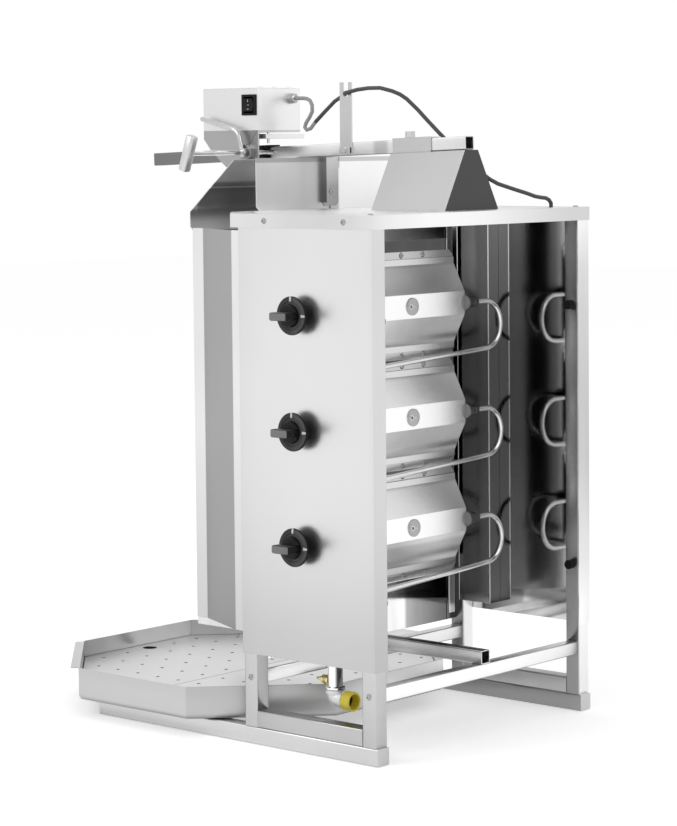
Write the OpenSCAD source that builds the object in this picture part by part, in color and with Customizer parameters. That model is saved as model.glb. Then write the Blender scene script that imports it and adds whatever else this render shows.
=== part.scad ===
// Gas doner kebab grill, three burners, sliding motor head and drip tray.
// Lengths in millimetres, Z up, tray to the front (-Y), open rear (+Y).

/* [Frame] */
// Outer width of the frame
frame_w = 500; // [460:5:600]
// Length of the two base rails
base_l = 556; // [540:2:640]
// Depth of the upright frame
frame_d = 250; // [244:2:280]
// Square tube of the uprights and base rails
tube = 25; // [22:1:30]
// Wall of every square tube
tube_wall = 1.5; // [1:0.1:2.5]
// Height of the top cover over the floor
top_z = 767; // [750:1:820]
// Sheet of covers, panels and hoods
sheet = 1.2; // [0.8:0.1:1.6]

/* [Cross rails and lower beam] */
// Square tube of the cross rails and both beams
bar = 20; // [16:1:22]
// Underside of the cross rails over the floor
cross_z = 87; // [80:1:100]
// Length of the lower beam
lower_beam_l = 515; // [480:5:560]

/* [Panels] */
// Lower edge of the side panels over the floor
panel_z = 132; // [120:1:160]
// Lip of the side panels round the rear posts
panel_lip = 27; // [20:1:32]
// Height of the cover's flange
flange_h = 20; // [14:1:26]
// Front extension of the cover before the uprights
cover_front = 78; // [70:1:82]
// Half width of the cover's front edge
cover_front_x = 185; // [170:1:200]

/* [Burners] */
// Height of the middle burner over the floor
burner_z = 461; // [450:1:480]
// Distance between burners
burner_pitch = 164; // [162:1:172]
// Width of a burner
burner_w = 246; // [230:2:250]
// Height of a burner's flange
burner_h = 160; // [150:1:161]
// Depth of a burner's housing behind its flange
burner_d = 24; // [18:1:30]
// Distance of the burner flange from the rear of the frame
burner_back = 151; // [145:1:160]
// Offset of the burners from the middle, towards the knobs
burner_x = 12.5; // [8:0.5:14]
// Thickness of the glowing plaques
plaque_t = 12; // [8:1:16]
// Outer diameter of the gas tubes
gas_tube_d = 8; // [6:1:10]

/* [Knobs] */
// Diameter of a knob's skirt
knob_d = 55; // [45:1:60]
// Height of a knob over the panel
knob_h = 45; // [36:1:50]
// Grip bar length and thickness
grip_l = 32; // [24:1:36]
grip_t = 11.5; // [7:0.5:12]
// Diameter of a valve spindle
spindle_d = 8; // [6:0.5:10]

/* [Gas inlet] */
// Outer diameter of the gas pipe
pipe_d = 21.3; // [18:0.1:24]
// Outer diameter of the inlet elbow
elbow_d = 28; // [26:0.5:32]

/* [Wings and hood] */
// Lower edge of the wings over the floor
wing_z = 163; // [150:1:180]
// Upper edge of the wings over the floor
wing_top = 743; // [720:1:745]
// Distance of the hood's front plate before the uprights
hood_front_y = 139; // [132:1:150]
// Distance of the hood's rear plate before the uprights
hood_back_y = 75; // [68:1:77]
// Half width of the opening between the wings
wing_x = 204; // [196:1:212]

/* [Upper beam] */
// Length of the upper beam
beam_l = 645; // [620:5:680]
// Offset of the upper beam from the middle
beam_x = -30; // [-34:1:-28]
// Lean of the beam to the front
lean_deg = 2; // [1.8:0.1:2.2]
// Height of the wedge that carries the beam
wedge_h = 88; // [84:1:92]
// Length and base width of the wedge
wedge_l = 140; // [120:1:150]
wedge_w = 125; // [100:1:140]
// Length of the clamping sleeve
sleeve_l = 73; // [60:1:90]

/* [Motor head] */
// Width, depth and height of the motor box
motor_w = 96.5; // [94:0.5:100]
motor_d = 115; // [112:1:120]
motor_h = 64; // [60:1:70]
// Diameter of the drive shaft
shaft_d = 16; // [13:0.5:16.5]
// Square socket in the drive shaft
socket_w = 9; // [7:0.5:10]
// Diameter and reach of the clamp screw
screw_d = 7.7; // [6:0.1:8.5]
screw_l = 185.7; // [160:0.1:200]
// Length of the clamp screw's cross handle
cross_l = 55; // [40:1:70]

/* [Drip tray] */
// Width of the tray from side to side
tray_w = 562; // [530:2:570]
// Depth of the tray from front to back
tray_d = 545; // [525:5:560]
// Length that each corner cut takes from a side
tray_cut = 159; // [140:1:170]
// Height of the tray's wall
tray_h = 49; // [40:1:60]
// Sheet of the tray
tray_t = 1.5; // [1:0.1:2]
// Height of the drain plates over the tray's floor
drain_h = 21.5; // [16:0.5:30]
// Diameter of the drain holes
drain_d = 6; // [4:0.5:8]

/* [Power cable] */
// Diameter of the motor's cable
cable_d = 6; // [5:0.5:6]

/* [Hidden] */
$fn = 48;
clear = 0.3;
fit = 0.05;
over = 1;
xr = frame_w / 2;
yb = base_l / 2;
yf = yb - frame_d;
x_in = xr - tube;
post_top = top_z - sheet;
bar_in = (tube - bar) / 2;
beam_z = cross_z + bar;
wing_side_l = 16;
wing_bend_l = 116;
wing_side_y = yf - wing_side_l;
wing_bend_y = yf - wing_bend_l;
wing_return = 20;
hood_yf = yf - hood_front_y;
hood_yb = yf - hood_back_y;
panel_gap = 7;
panel_top = top_z - panel_gap;
cover_x = xr + 2 * sheet;
cover_yb = yb + 2 * sheet;
cover_bend_y = wing_side_y;
flange_y = yb - burner_back;
burner_zs = [burner_z + burner_pitch, burner_z, burner_z - burner_pitch];
burner_slope_share = 0.82;
burner_step_share = 0.86;
burner_face_share = 0.22;
step_t = 3;
flange_cut = 8;
disc_d = 26;
reflector_gap = 2;
reflector_lap = 13;
reflector_drop = 11;
reflector_z = wing_z - reflector_drop;
apron_back = 10.5;
apron_y = yf + apron_back;
apron_drop = 14;
apron_z = panel_z - apron_drop;
apron_top = burner_z - burner_pitch - burner_h / 2;
bead_x = 202.5;
bead_w = 3;
plaque_w = burner_w - 2 * reflector_lap;
plaque_rim = 9;
plaque_h = burner_h - 2 * plaque_rim;
baffle_x = 202;
baffle_end_x = 219;
baffle_z = 50.5;
tube_back = 24;
tube_y = flange_y + tube_back;
tube_share = 0.22;
tube_r = burner_pitch * tube_share;
tube_slope = 3;
loop_gap = 23;
loop_x = x_in - tube_r - gas_tube_d / 2 - loop_gap;
injector_share = 0.5;
loop_room = loop_x - (burner_w / 2 - burner_x);
injector_l = loop_room * injector_share;
tube_stub = loop_room - injector_l;
tube_up_r = 20;
valve_in = 50;
valve_x = xr - valve_in;
valve_l = 32;
valve_w = 28;
valve_deep = 1.5;
knob_back = 135.5;
knob_y = yb - knob_back;
neck_d = 16;
pipe_in = 36;
pipe_x = xr - pipe_in;
pipe_back = 29.5;
pipe_y = knob_y + pipe_back;
pipe_z = 91;
pipe_top = 40;
elbow_h = 14;
elbow_l = 20;
wall_in = 60;
wall_x = xr - wall_in;
wall_front = 12;
wall_back = 53;
wall_gap = 6;
wall_z = panel_z + wall_gap;
strip_front = 17.5;
strip_back = 79.5;
strip_hem = 2;
strip_gap = 15;
strip_z = panel_z + strip_gap;
beam_in = 50;
beam_rear_y = yb - beam_in;
beam_rear_z = top_z + wedge_h;
spit_front = 204.5;
spit_y = yf - spit_front;
clamp_back = 20.5;
clamp_y = spit_y + clamp_back;
clamp_drop = 2;
clamp_z = beam_rear_z - clamp_drop;
motor_x = 34;
motor_back = 40.5;
motor_yb = spit_y + motor_back;
motor_up = 32;
motor_z = beam_rear_z + motor_up;
plate_t = 3;
web_t = 3;
bush_wall = 3;
bush_before = 58.5;
bush_front = spit_y - bush_before;
bush_gap = 0.7;
bush_back = clamp_y - screw_d / 2 - bush_gap;
web_short = 46.5;
web_back = bush_back - web_short;
shield_z = 13;
shield_t = 1.2;
shield_lip = 6.3;
shield_x = 22.8;
shield_far = 85.4;
shield_front = 7;
shaft_l = 49;
shaft_z = motor_z - shaft_l;
shaft_neck_d = 10;
shaft_head = 20;
switch_back = 3;
switch_y = clamp_y + switch_back;
switch_up = 39;
switch_z = motor_z + switch_up;
switch_w = 28.6;
switch_h = 32;
window_w = 20;
window_h = 25;
bezel_t = 2.5;
gland_x = -42;
gland_up = 49;
gland_z = motor_z + gland_up;
nut_af = 22;
tray_z = tube + clear;
tray_y = spit_y;
tray_r = 6;
drain_z = tray_z + tray_t + drain_h;
drain_gap = 1;
drain_slit = 1.2;
drain_dx = 53;
drain_dy = 44;
drain_rim = 20;
screw_head_d = 9;
screw_head_h = 2;

// Route of the motor's cable, from the gland to the cover
cable_pts = [
    [-42, -125, 936], [-42, -119, 936], [-42, -110, 936], [-42, -102, 935],
    [-41, -95, 932], [-40, -90, 925], [-39, -89, 915], [-38, -94, 906],
    [-37, -100, 898], [-36, -102, 891], [-35, -97, 887], [-35, -89, 889],
    [-34, -78, 899], [-34, -59, 914], [-34, -38, 930], [-32, -18, 939],
    [-26, -7, 941], [-18, -2, 941], [-11, 4, 942], [-8, 14, 943],
    [-7, 31, 946], [-9, 51, 948], [-13, 71, 948], [-18, 90, 943],
    [-23, 101, 938], [-28, 110, 931], [-34, 126, 915], [-41, 141, 897],
    [-47, 154, 882], [-52, 166, 869], [-60, 182, 852], [-69, 198, 836],
    [-78, 212, 820], [-85, 221, 811], [-96, 228, 804], [-112, 233, 799],
    [-130, 237, 794], [-150, 240, 789], [-168, 242, 784], [-182, 243, 782],
    [-193, 243, 781], [-201, 243, 778], [-205, 243, 774], [-206, 243, 773],
    [-206, 243, 767]
];
cable_sides = 8;

// Helpers

function unit(v) = v / norm(v);
function perp(v) = [-v[1], v[0]];
function seg(p, i) = unit(p[i + 1] - p[i]);
function fold_pt(p, i, t) =
    let (
        a = perp(seg(p, max(i - 1, 0))),
        b = perp(seg(p, min(i, len(p) - 2))),
        m = unit(a + b)
    ) p[i] + m * t / (m * a);

// A sheet bent along a line of points, its thickness on the left of the line
module folded(p, t) {
    n = len(p);
    polygon(concat(p, [for (k = [1:n]) fold_pt(p, n - k, t)]));
}

// A square tube, open along one axis
module tube_box(size, axis) {
    in_at = [for (i = [0:2]) i == axis ? -over : tube_wall];
    in_size = [for (i = [0:2]) size[i] + (i == axis ? 2 * over : -2 * tube_wall)];
    difference() {
        cube(size);
        translate(in_at) cube(in_size);
    }
}

module on_left() {
    mirror([1, 0, 0]) children();
}

// Places things along the leaning beam: x across, y forward from its rear end
module lean() {
    translate([beam_x, beam_rear_y, beam_rear_z]) rotate([lean_deg, 0, 0]) children();
}

// Height of the beam's underside at a place along y
function under_beam(y) = beam_rear_z - (beam_rear_y - y) * tan(lean_deg);

module rod_x(x1, x2, d, y, z) {
    translate([x1, y, z]) rotate([0, 90, 0]) cylinder(d = d, h = x2 - x1);
}

module rod_y(x, y1, y2, d, z) {
    translate([x, y1, z]) rotate([-90, 0, 0]) cylinder(d = d, h = y2 - y1);
}

// Frame

rail_over = 3;
vent_d = 6;

// A base rail, closed by a plate at each end, with a vent in the front one
module base_rail() {
    l = base_l + rail_over;
    translate([x_in, -yb, 0]) difference() {
        union() {
            tube_box([tube, l, tube], 1);
            cube([tube, tube_wall, tube]);
            translate([0, l - tube_wall, 0]) cube([tube, tube_wall, tube]);
        }
        rod_y(tube / 2, -over, tube_wall + over, vent_d, tube / 2);
    }
}

module base_rail_left() {
    color("silver") on_left() base_rail();
}

module base_rail_right() {
    color("silver") base_rail();
}

module post(y) {
    translate([x_in, y, tube]) tube_box([tube, tube, post_top - tube], 2);
}

module front_post_left() {
    color("silver") on_left() post(yf);
}

module front_post_right() {
    color("silver") post(yf);
}

module rear_post_left() {
    color("silver") on_left() post(yb - tube);
}

module rear_post_right() {
    color("silver") post(yb - tube);
}

module side_rail() {
    translate([x_in, yf + tube, tube]) tube_box([tube, frame_d - 2 * tube, tube], 1);
}

module side_rail_left() {
    color("silver") on_left() side_rail();
}

module side_rail_right() {
    color("silver") side_rail();
}

module cross_rail(y) {
    translate([-x_in, y, cross_z]) tube_box([2 * x_in, bar, bar], 0);
}

module front_cross_rail() {
    color("silver") cross_rail(yf + bar_in);
}

module rear_cross_rail() {
    color("silver") cross_rail(yb - tube + bar_in);
}

// Lower beam and the bearing of the spit's foot

module lower_beam() {
    color("silver") translate([-bar / 2, yb - bar_in - lower_beam_l, beam_z])
        tube_box([bar, lower_beam_l, bar], 1);
}

bearing_l = 40;
bearing_wall = 4;
bearing_h = 18;
bearing_skirt = 15;
bearing_d = 20;
bearing_deep = 12;

module spit_bearing() {
    w = bar + 2 * (bearing_wall + clear);
    color("dimgray") difference() {
        translate([-w / 2, spit_y - bearing_l / 2, beam_z + bar - bearing_skirt])
            cube([w, bearing_l, bearing_skirt + clear + bearing_h]);
        translate([-bar / 2 - clear, spit_y - bearing_l / 2 - over, beam_z + bar - bearing_skirt - over])
            cube([bar + 2 * clear, bearing_l + 2 * over, bearing_skirt + over + clear]);
        translate([0, spit_y, beam_z + bar + clear + bearing_h - bearing_deep])
            cylinder(d = bearing_d, h = bearing_deep + over);
    }
}

// Cover and panels

cover_plan = [
    [-cover_x, cover_yb], [-cover_x, cover_bend_y], [-cover_front_x, yf - cover_front],
    [cover_front_x, yf - cover_front], [cover_x, cover_bend_y], [cover_x, cover_yb]
];

module top_cover() {
    color("gainsboro") union() {
        translate([0, 0, top_z - sheet]) linear_extrude(sheet) polygon(cover_plan);
        for (side = [0, 1]) mirror([side, 0, 0])
            translate([cover_x - sheet, cover_bend_y, top_z - flange_h])
                cube([sheet, cover_yb - cover_bend_y, flange_h]);
        translate([-cover_x, cover_yb - sheet, top_z - flange_h])
            cube([2 * cover_x, sheet, flange_h]);
        translate([-baffle_x, apron_y - sheet, top_z - baffle_z])
            cube([2 * baffle_x, sheet, baffle_z - sheet / 2]);
        translate([-baffle_end_x, apron_y - sheet, wing_top + clear])
            cube([2 * baffle_end_x, sheet, top_z - wing_top - clear - sheet / 2]);
    }
}

module side_panel() {
    h = panel_top - panel_z;
    translate([xr, yf - sheet, panel_z]) cube([sheet, frame_d + 2 * sheet, h]);
    translate([xr + sheet - panel_lip, yb, panel_z]) cube([panel_lip, sheet, h]);
}

module control_panel() {
    color("whitesmoke") difference() {
        side_panel();
        for (z = burner_zs) rod_x(xr - over, xr + sheet + over, spindle_d + 2 * clear, knob_y, z);
    }
}

module side_panel_left() {
    color("whitesmoke") on_left() side_panel();
}

module inner_wall_left() {
    p = [
        [-x_in + strip_hem, yf + strip_back], [-x_in, yf + strip_back],
        [-x_in, yf + strip_front], [-x_in + strip_hem, yf + strip_front]
    ];
    color("lightgray") translate([0, 0, strip_z]) linear_extrude(post_top - strip_z) union() {
        folded(p, sheet);
        translate([clear - xr, yf + strip_back - sheet]) square([tube + sheet - clear, sheet]);
    }
}

module inner_wall_right() {
    y = yf + tube + wall_front;
    p = [[x_in, yf + tube / 2], [x_in, y], [wall_x, y], [wall_x, yb - wall_back]];
    color("lightgray") difference() {
        translate([0, 0, wall_z]) linear_extrude(post_top - wall_z) folded(p, sheet);
        for (z = burner_zs)
            rod_x(wall_x - 2 * over, wall_x + 2 * over, gas_tube_d + 3 * over, tube_y, tube_low(z, wall_x));
    }
}

// Wings, reflectors and hood

module wing() {
    p = [
        [xr - wing_return, yf - sheet], [xr - sheet, yf - sheet], [xr - sheet, wing_side_y],
        [wing_x, wing_bend_y], [wing_x, hood_yf + sheet]
    ];
    translate([0, 0, wing_z]) linear_extrude(wing_top - wing_z) folded(p, sheet);
}

module wing_left() {
    color("silver") on_left() wing();
}

module wing_right() {
    color("silver") wing();
}

// Half of the fire room: its slanting wall, floor and apron; edge is the end of the burner flange
module reflector(edge) {
    p = [
        [wing_x, hood_yf + sheet], [wing_x, apron_y], [edge, flange_y], [edge - reflector_lap, flange_y]
    ];
    notch = bar / 2 + clear;
    difference() {
        union() {
            translate([0, 0, reflector_z]) linear_extrude(wing_top - reflector_z) folded(p, sheet);
            translate([0, 0, apron_top - sheet]) linear_extrude(sheet) polygon([
                [clear, apron_y - sheet], [wing_x - sheet / 2, apron_y - sheet],
                [edge - sheet / 2, flange_y], [clear, flange_y]
            ]);
            translate([clear, apron_y - sheet, apron_z])
                cube([x_in - clear, sheet, apron_top - apron_z]);
            translate([bead_x - bead_w / 2, apron_y - sheet / 2, apron_z])
                cube([bead_w, bead_w / 2, reflector_z - apron_z]);
        }
        translate([-notch, apron_y - over - sheet, apron_z - over])
            cube([2 * notch, 2 * over + sheet, beam_z + bar + clear + over - apron_z]);
    }
}

module reflector_left() {
    color("lightgray") on_left() reflector(burner_w / 2 - burner_x + reflector_gap);
}

module reflector_right() {
    color("lightgray") reflector(burner_w / 2 + burner_x + reflector_gap);
}

hood_low = 28;
hood_over = 5;
hood_edge = wing_x + hood_over;
hood_top_x = 114.5;
hood_cut = 6;

module hood_front() {
    h = under_beam(hood_yf) - clear - top_z;
    color("lightgray") translate([0, hood_yf + sheet, top_z]) rotate([90, 0, 0])
        linear_extrude(sheet) polygon([
            [-hood_edge + hood_cut, -hood_low], [hood_edge - hood_cut, -hood_low],
            [hood_edge, -hood_low + hood_cut], [hood_edge, 0], [hood_top_x, h],
            [-hood_top_x, h], [-hood_edge, 0], [-hood_edge, -hood_low + hood_cut]
        ]);
}

hood_right = 135;
hood_left = 195;
slit_x = 51;
slit_w = 1.5;
slit_deep = 17;

module hood_back() {
    h = under_beam(hood_yb) - clear - top_z;
    color("lightgray") translate([0, hood_yb + sheet, top_z]) rotate([90, 0, 0])
        linear_extrude(sheet) difference() {
            polygon([
                [-hood_left + hood_cut, 0], [hood_right - hood_cut, 0], [hood_right, hood_cut],
                [hood_right, h], [-hood_left, h], [-hood_left, hood_cut]
            ]);
            translate([-slit_x - slit_w / 2, h - slit_deep]) square([slit_w, slit_deep + over]);
        }
}

strap_w = 35.7;
strap_cut = 5;
strap_low = 4;
strap_fin = 8;
strap_left = 47.7;
strap_screw_up = 25.5;

module hood_strap() {
    h = under_beam(hood_yb + sheet) - clear - top_z;
    y = hood_yb + 2 * sheet;
    color("silver") translate([-strap_left, y, top_z]) union() {
        rotate([90, 0, 0]) linear_extrude(sheet) polygon([
            [strap_cut, strap_low], [strap_w - strap_cut, strap_low], [strap_w, strap_low + strap_cut],
            [strap_w, h], [0, h], [0, strap_low + strap_cut]
        ]);
        translate([strap_w - sheet, -sheet / 2, strap_low + strap_cut])
            cube([sheet, strap_fin + sheet / 2, h - strap_low - strap_cut]);
        translate([strap_w / 2 - sheet, -sheet, 0]) cube([2 * sheet, sheet, strap_low + over]);
    }
}

// Upper beam and what carries it

wedge_top = 30;
wedge_back = 47;
sleeve_wall = 2;
sleeve_front = 20;
bolt_d = 8;
bolt_af = 13;
bolt_h = 9;

module wedge_plan(inset) {
    polygon([
        [-wedge_w / 2 + inset, -over * inset], [wedge_w / 2 - inset, -over * inset],
        [wedge_top / 2 - inset, wedge_h], [-wedge_top / 2 + inset, wedge_h]
    ]);
}

module beam_support() {
    y = yb - wedge_back;
    color("silver") difference() {
        translate([beam_x, y, top_z]) rotate([90, 0, 0]) linear_extrude(wedge_l) wedge_plan(0);
        translate([beam_x, y - sheet, top_z]) rotate([90, 0, 0])
            linear_extrude(wedge_l - 2 * sheet) intersection() {
                wedge_plan(sheet);
                translate([-wedge_w / 2, -over])
                    square([wedge_w, wedge_h - wedge_l * tan(lean_deg) - 2 * sheet]);
            }
        lean() translate([-wedge_w / 2, -2 * wedge_l, -clear]) cube([wedge_w, 3 * wedge_l, wedge_h]);
    }
}

sleeve_w = bar + 2 * (sleeve_wall + clear);
sleeve_y = beam_rear_y - (yb - wedge_back - wedge_l);

module beam_sleeve() {
    color("silver") lean() translate([0, -sleeve_y, 0]) difference() {
        translate([-sleeve_w / 2, 0, -clear]) cube([sleeve_w, sleeve_l, bar + 2 * clear + sleeve_wall]);
        translate([-bar / 2 - clear, -over, -clear - over])
            cube([bar + 2 * clear, sleeve_l + 2 * over, bar + 2 * clear + over]);
        translate([0, sleeve_l / 3, bar]) cylinder(d = bolt_d + 2 * fit, h = sleeve_wall + over);
    }
}

module sleeve_bolt() {
    color("gray") lean() translate([0, sleeve_l / 3 - sleeve_y, bar + clear]) union() {
        cylinder(d = bolt_d, h = sleeve_wall + 2 * clear);
        translate([0, 0, sleeve_wall + clear]) cylinder(d = bolt_af / cos(30), h = bolt_h, $fn = 6);
    }
}

module upper_beam() {
    color("silver") lean() translate([-bar / 2, -beam_l, 0]) tube_box([bar, beam_l, bar], 1);
}

fork_w = 23;
fork_t = 2.5;
fork_h = 107;
fork_slot = 10;
fork_deep = 21.5;
fork_before = 30;
fork_y = yf - fork_before;
fork_seat = 4;
wing_nut_d = 9;
wing_nut_t = 6;
wing_nut_l = 20;

module cable_fork() {
    z = under_beam(fork_y) + fork_seat;
    x = beam_x + bar / 2;
    color("silver") difference() {
        union() {
            translate([x, fork_y - fork_w / 2, z]) cube([fork_t, fork_w, fork_h]);
            rod_x(x + fork_t - clear, x + fork_t + wing_nut_t, wing_nut_d, fork_y, z + wing_nut_d / 2);
            translate([x + fork_t + wing_nut_t / 3, fork_y - wing_nut_l / 2, z])
                cube([wing_nut_t / 3, wing_nut_l, wing_nut_d]);
        }
        translate([x - over, fork_y - fork_slot / 2 + clear, z + fork_h - fork_deep])
            cube([fork_t + 2 * over, fork_slot, fork_deep + over]);
    }
}

// Drip tray and its drain plates

// Corners of the tray's plan, inset by a distance
cut_step_share = 2 - sqrt(2);

function tray_pts(inset) =
    let (
        x = tray_w / 2 - inset,
        y = tray_d / 2 - inset,
        c = tray_cut - cut_step_share * inset
    ) [
        [x, y - c], [x - c, y], [c - x, y], [-x, y - c],
        [-x, c - y], [c - x, -y], [x - c, -y], [x, c - y]
    ];

module round_plan(inset) {
    hull() for (p = tray_pts(tray_r)) translate(p) circle(r = tray_r - inset, $fn = 32);
}

lip_w = 13;
hem_w = 2;

module tray() {
    far = (tray_w / 2 + tray_d / 2 - tray_cut) / sqrt(2);
    mid = (tray_w / 2 - tray_d / 2) / sqrt(2);
    l = tray_cut * sqrt(2) - 2 * tray_r;
    color("gainsboro") translate([0, tray_y, tray_z]) union() {
        difference() {
            linear_extrude(tray_h) round_plan(0);
            translate([0, 0, tray_t]) linear_extrude(tray_h) round_plan(tray_t);
        }
        translate([0, 0, tray_h - tray_t]) linear_extrude(tray_t) difference() {
            round_plan(tray_t / 2);
            round_plan(hem_w);
        }
        rotate(-45) translate([far - tray_t / 2, mid - l / 2, tray_h - tray_t])
            cube([lip_w, l, tray_t]);
    }
}

finger_d = 23;
finger_y = 245;
drain_cols = 4;
drain_rows = 5;

function in_rim(x, y) =
    x < tray_w / 2 - drain_rim && y < tray_d / 2 - drain_rim
        && x + y < tray_w / 2 + tray_d / 2 - tray_cut - drain_rim * sqrt(2)
        && norm([x, y - finger_y]) > finger_d / 2 + drain_d;

// One drain plate, its skirt down to the tray's floor; side is -1 at the front
module drain_plate(side) {
    skirt = drain_h - clear;
    translate([0, tray_y, drain_z - tray_t]) difference() {
        union() {
            linear_extrude(tray_t) drain_half(side, 0);
            translate([0, 0, clear - drain_h + tray_t]) linear_extrude(skirt) difference() {
                drain_half(side, 0);
                drain_half(side, tray_t);
            }
        }
        for (i = [-drain_cols:drain_cols], j = [0:drain_rows]) {
            x = i * drain_dx;
            y = drain_dy * (j + 1 / 2);
            if (in_rim(abs(x), y))
                translate([x, side * y, -over]) cylinder(d = drain_d, h = tray_t + 2 * over, $fn = 24);
        }
        translate([0, side * finger_y, -over]) cylinder(d = finger_d, h = tray_t + 2 * over);
    }
}

module drain_half(side, inset) {
    gap = drain_slit / 2 + inset;
    intersection() {
        polygon(tray_pts(hem_w + drain_gap + inset));
        translate([-tray_w / 2, side > 0 ? gap : -gap - tray_w]) square(tray_w);
    }
}

module drain_plate_front() {
    color("silver") drain_plate(-1);
}

module drain_plate_rear() {
    color("silver") drain_plate(1);
}

// Burners and gas parts

module burner_side(t) {
    hs = burner_h / 2 * burner_slope_share - t;
    hf = burner_h / 2 * burner_face_share - t * burner_face_share;
    polygon([[-over * t, -hs], [-over * t, hs], [burner_d - t, hf], [burner_d - t, -hf]]);
}

module burner(z) {
    w = burner_w - 2 * sheet;
    x = burner_w / 2;
    h = burner_h / 2;
    step_h = burner_h * burner_step_share;
    color("silver") translate([burner_x, flange_y, z]) union() {
        difference() {
            union() {
                translate([0, sheet, 0]) rotate([90, 0, 0]) linear_extrude(sheet) polygon([
                    [x, h - flange_cut], [x - flange_cut, h], [flange_cut - x, h], [-x, h - flange_cut],
                    [-x, flange_cut - h], [flange_cut - x, -h], [x - flange_cut, -h], [x, flange_cut - h]
                ]);
                translate([-x, sheet / 2, -step_h / 2]) cube([burner_w, step_t, step_h]);
                translate([-x, sheet / 2, 0]) rotate([90, 0, 90])
                    linear_extrude(burner_w) burner_side(0);
            }
            translate([-w / 2, sheet / 2, 0]) rotate([90, 0, 90]) linear_extrude(w) burner_side(sheet);
        }
        rod_y(0, burner_d + sheet / 2 - clear, burner_d + 2 * sheet, disc_d, 0);
    }
}

module burner_1() {
    burner(burner_zs[0]);
}

module burner_2() {
    burner(burner_zs[1]);
}

module burner_3() {
    burner(burner_zs[2]);
}

module burner_plaques() {
    color("wheat") for (z = burner_zs)
        translate([burner_x - plaque_w / 2, flange_y - plaque_t, z - plaque_h / 2])
            cube([plaque_w, plaque_t, plaque_h]);
}

module injectors() {
    x = burner_x - burner_w / 2;
    color("gray") for (z = burner_zs) {
        rod_x(x - injector_l / 9, x, elbow_d * 0.8, tube_y, z);
        translate([x - injector_l * 0.45, tube_y, z]) rotate([0, 90, 0])
            cylinder(d = elbow_d * 0.75, h = injector_l * 0.36, $fn = 6);
        rod_x(x - injector_l * 0.75, x - injector_l * 0.4, elbow_d / 2, tube_y, z);
        translate([x - injector_l, tube_y, z]) rotate([0, 90, 0])
            cylinder(d = elbow_d * 0.64, h = injector_l * 0.28, $fn = 6);
    }
}

// Height of a tube's lower run at a place across the grill
function tube_low(z, x) = z - 2 * tube_r - (x + loop_x) * tan(tube_slope);

module gas_tube(z) {
    up_x = valve_x + valve_l / 2;
    run = (up_x + loop_x) / cos(tube_slope);
    rise = z - valve_w / 2 - tube_low(z, up_x);
    union() {
        rod_x(-loop_x, tube_stub - loop_x, gas_tube_d, tube_y, z);
        translate([-loop_x, tube_y, z - tube_r]) rotate([90, 0, 0]) rotate([0, 0, 90])
            rotate_extrude(angle = 180) translate([tube_r, 0]) circle(d = gas_tube_d);
        translate([-loop_x, tube_y, z - 2 * tube_r]) rotate([0, tube_slope, 0]) {
            rod_x(0, run - tube_up_r, gas_tube_d, 0, 0);
            translate([run - tube_up_r, 0, tube_up_r]) rotate([90, 0, 0]) rotate([0, 0, -90])
                rotate_extrude(angle = 90) translate([tube_up_r, 0]) circle(d = gas_tube_d);
            translate([run, 0, tube_up_r]) cylinder(d = gas_tube_d, h = rise - tube_up_r);
        }
    }
}

module gas_tubes() {
    color("lightgray") for (z = burner_zs) gas_tube(z);
}

module gas_valves() {
    color("goldenrod") for (z = burner_zs) difference() {
        union() {
            translate([valve_x, knob_y - valve_w / 2, z - valve_w / 2])
                cube([valve_l, valve_w + valve_deep, valve_w]);
            rod_x(valve_x + valve_l - over, xr, neck_d, knob_y, z);
        }
        rod_x(valve_x + valve_l, xr + over, spindle_d + 2 * fit, knob_y, z);
    }
}

skirt_t = 6;
boss_d = 32;
knob_stand = 13;
stand_d = 26;
spindle_l = 14;

module knob(z) {
    x0 = xr + sheet + clear;
    x = x0 + knob_stand;
    color("black") translate([0, 0, z]) union() {
        rod_x(x0, x + clear, stand_d, knob_y, 0);
        rod_x(x, x + skirt_t * 0.6, knob_d, knob_y, 0);
        translate([x + skirt_t * 0.6 - clear, knob_y, 0]) rotate([0, 90, 0])
            cylinder(d1 = knob_d, d2 = boss_d, h = skirt_t * 0.4 + clear, $fn = 48);
        rod_x(x + skirt_t - clear, x + skirt_t * 1.6, boss_d, knob_y, 0);
        translate([x + skirt_t, knob_y - grip_l / 2, -grip_t / 2])
            cube([knob_h - knob_stand - skirt_t, grip_l, grip_t]);
        rod_x(xr - spindle_l, x0 + clear, spindle_d, knob_y, 0);
    }
}

module knob_1() {
    knob(burner_zs[0]);
}

module knob_2() {
    knob(burner_zs[1]);
}

module knob_3() {
    knob(burner_zs[2]);
}

nipple_z = 12;
collar_h = 5;

module manifold() {
    color("silver") union() {
        translate([pipe_x, pipe_y, pipe_z]) cylinder(d = pipe_d, h = burner_zs[0] + pipe_top - pipe_z);
        translate([pipe_x, pipe_y, pipe_z]) cylinder(d = elbow_d, h = collar_h);
        for (z = burner_zs)
            rod_y(pipe_x, knob_y + valve_w / 2 + valve_deep, pipe_y, pipe_d / 2, z);
        rod_y(pipe_x, pipe_y - pipe_d * 1.7, pipe_y, pipe_d / 2, pipe_z + nipple_z);
    }
}

module inlet_elbow() {
    z = pipe_z - elbow_h;
    color("silver") union() {
        translate([pipe_x, pipe_y, z]) cylinder(d = elbow_d * 0.9, h = elbow_h);
        translate([pipe_x, pipe_y, z]) sphere(d = elbow_d * 0.9);
        rod_y(pipe_x, pipe_y, pipe_y + elbow_l, elbow_d * 0.9, z);
        translate([pipe_x, pipe_y, pipe_z - collar_h]) cylinder(d = elbow_d, h = collar_h);
        rod_y(pipe_x, pipe_y + elbow_l - collar_h, pipe_y + elbow_l, elbow_d, z);
    }
}

cap_l = 16;
cap_wall = 3.4;
cap_floor = 2;

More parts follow.
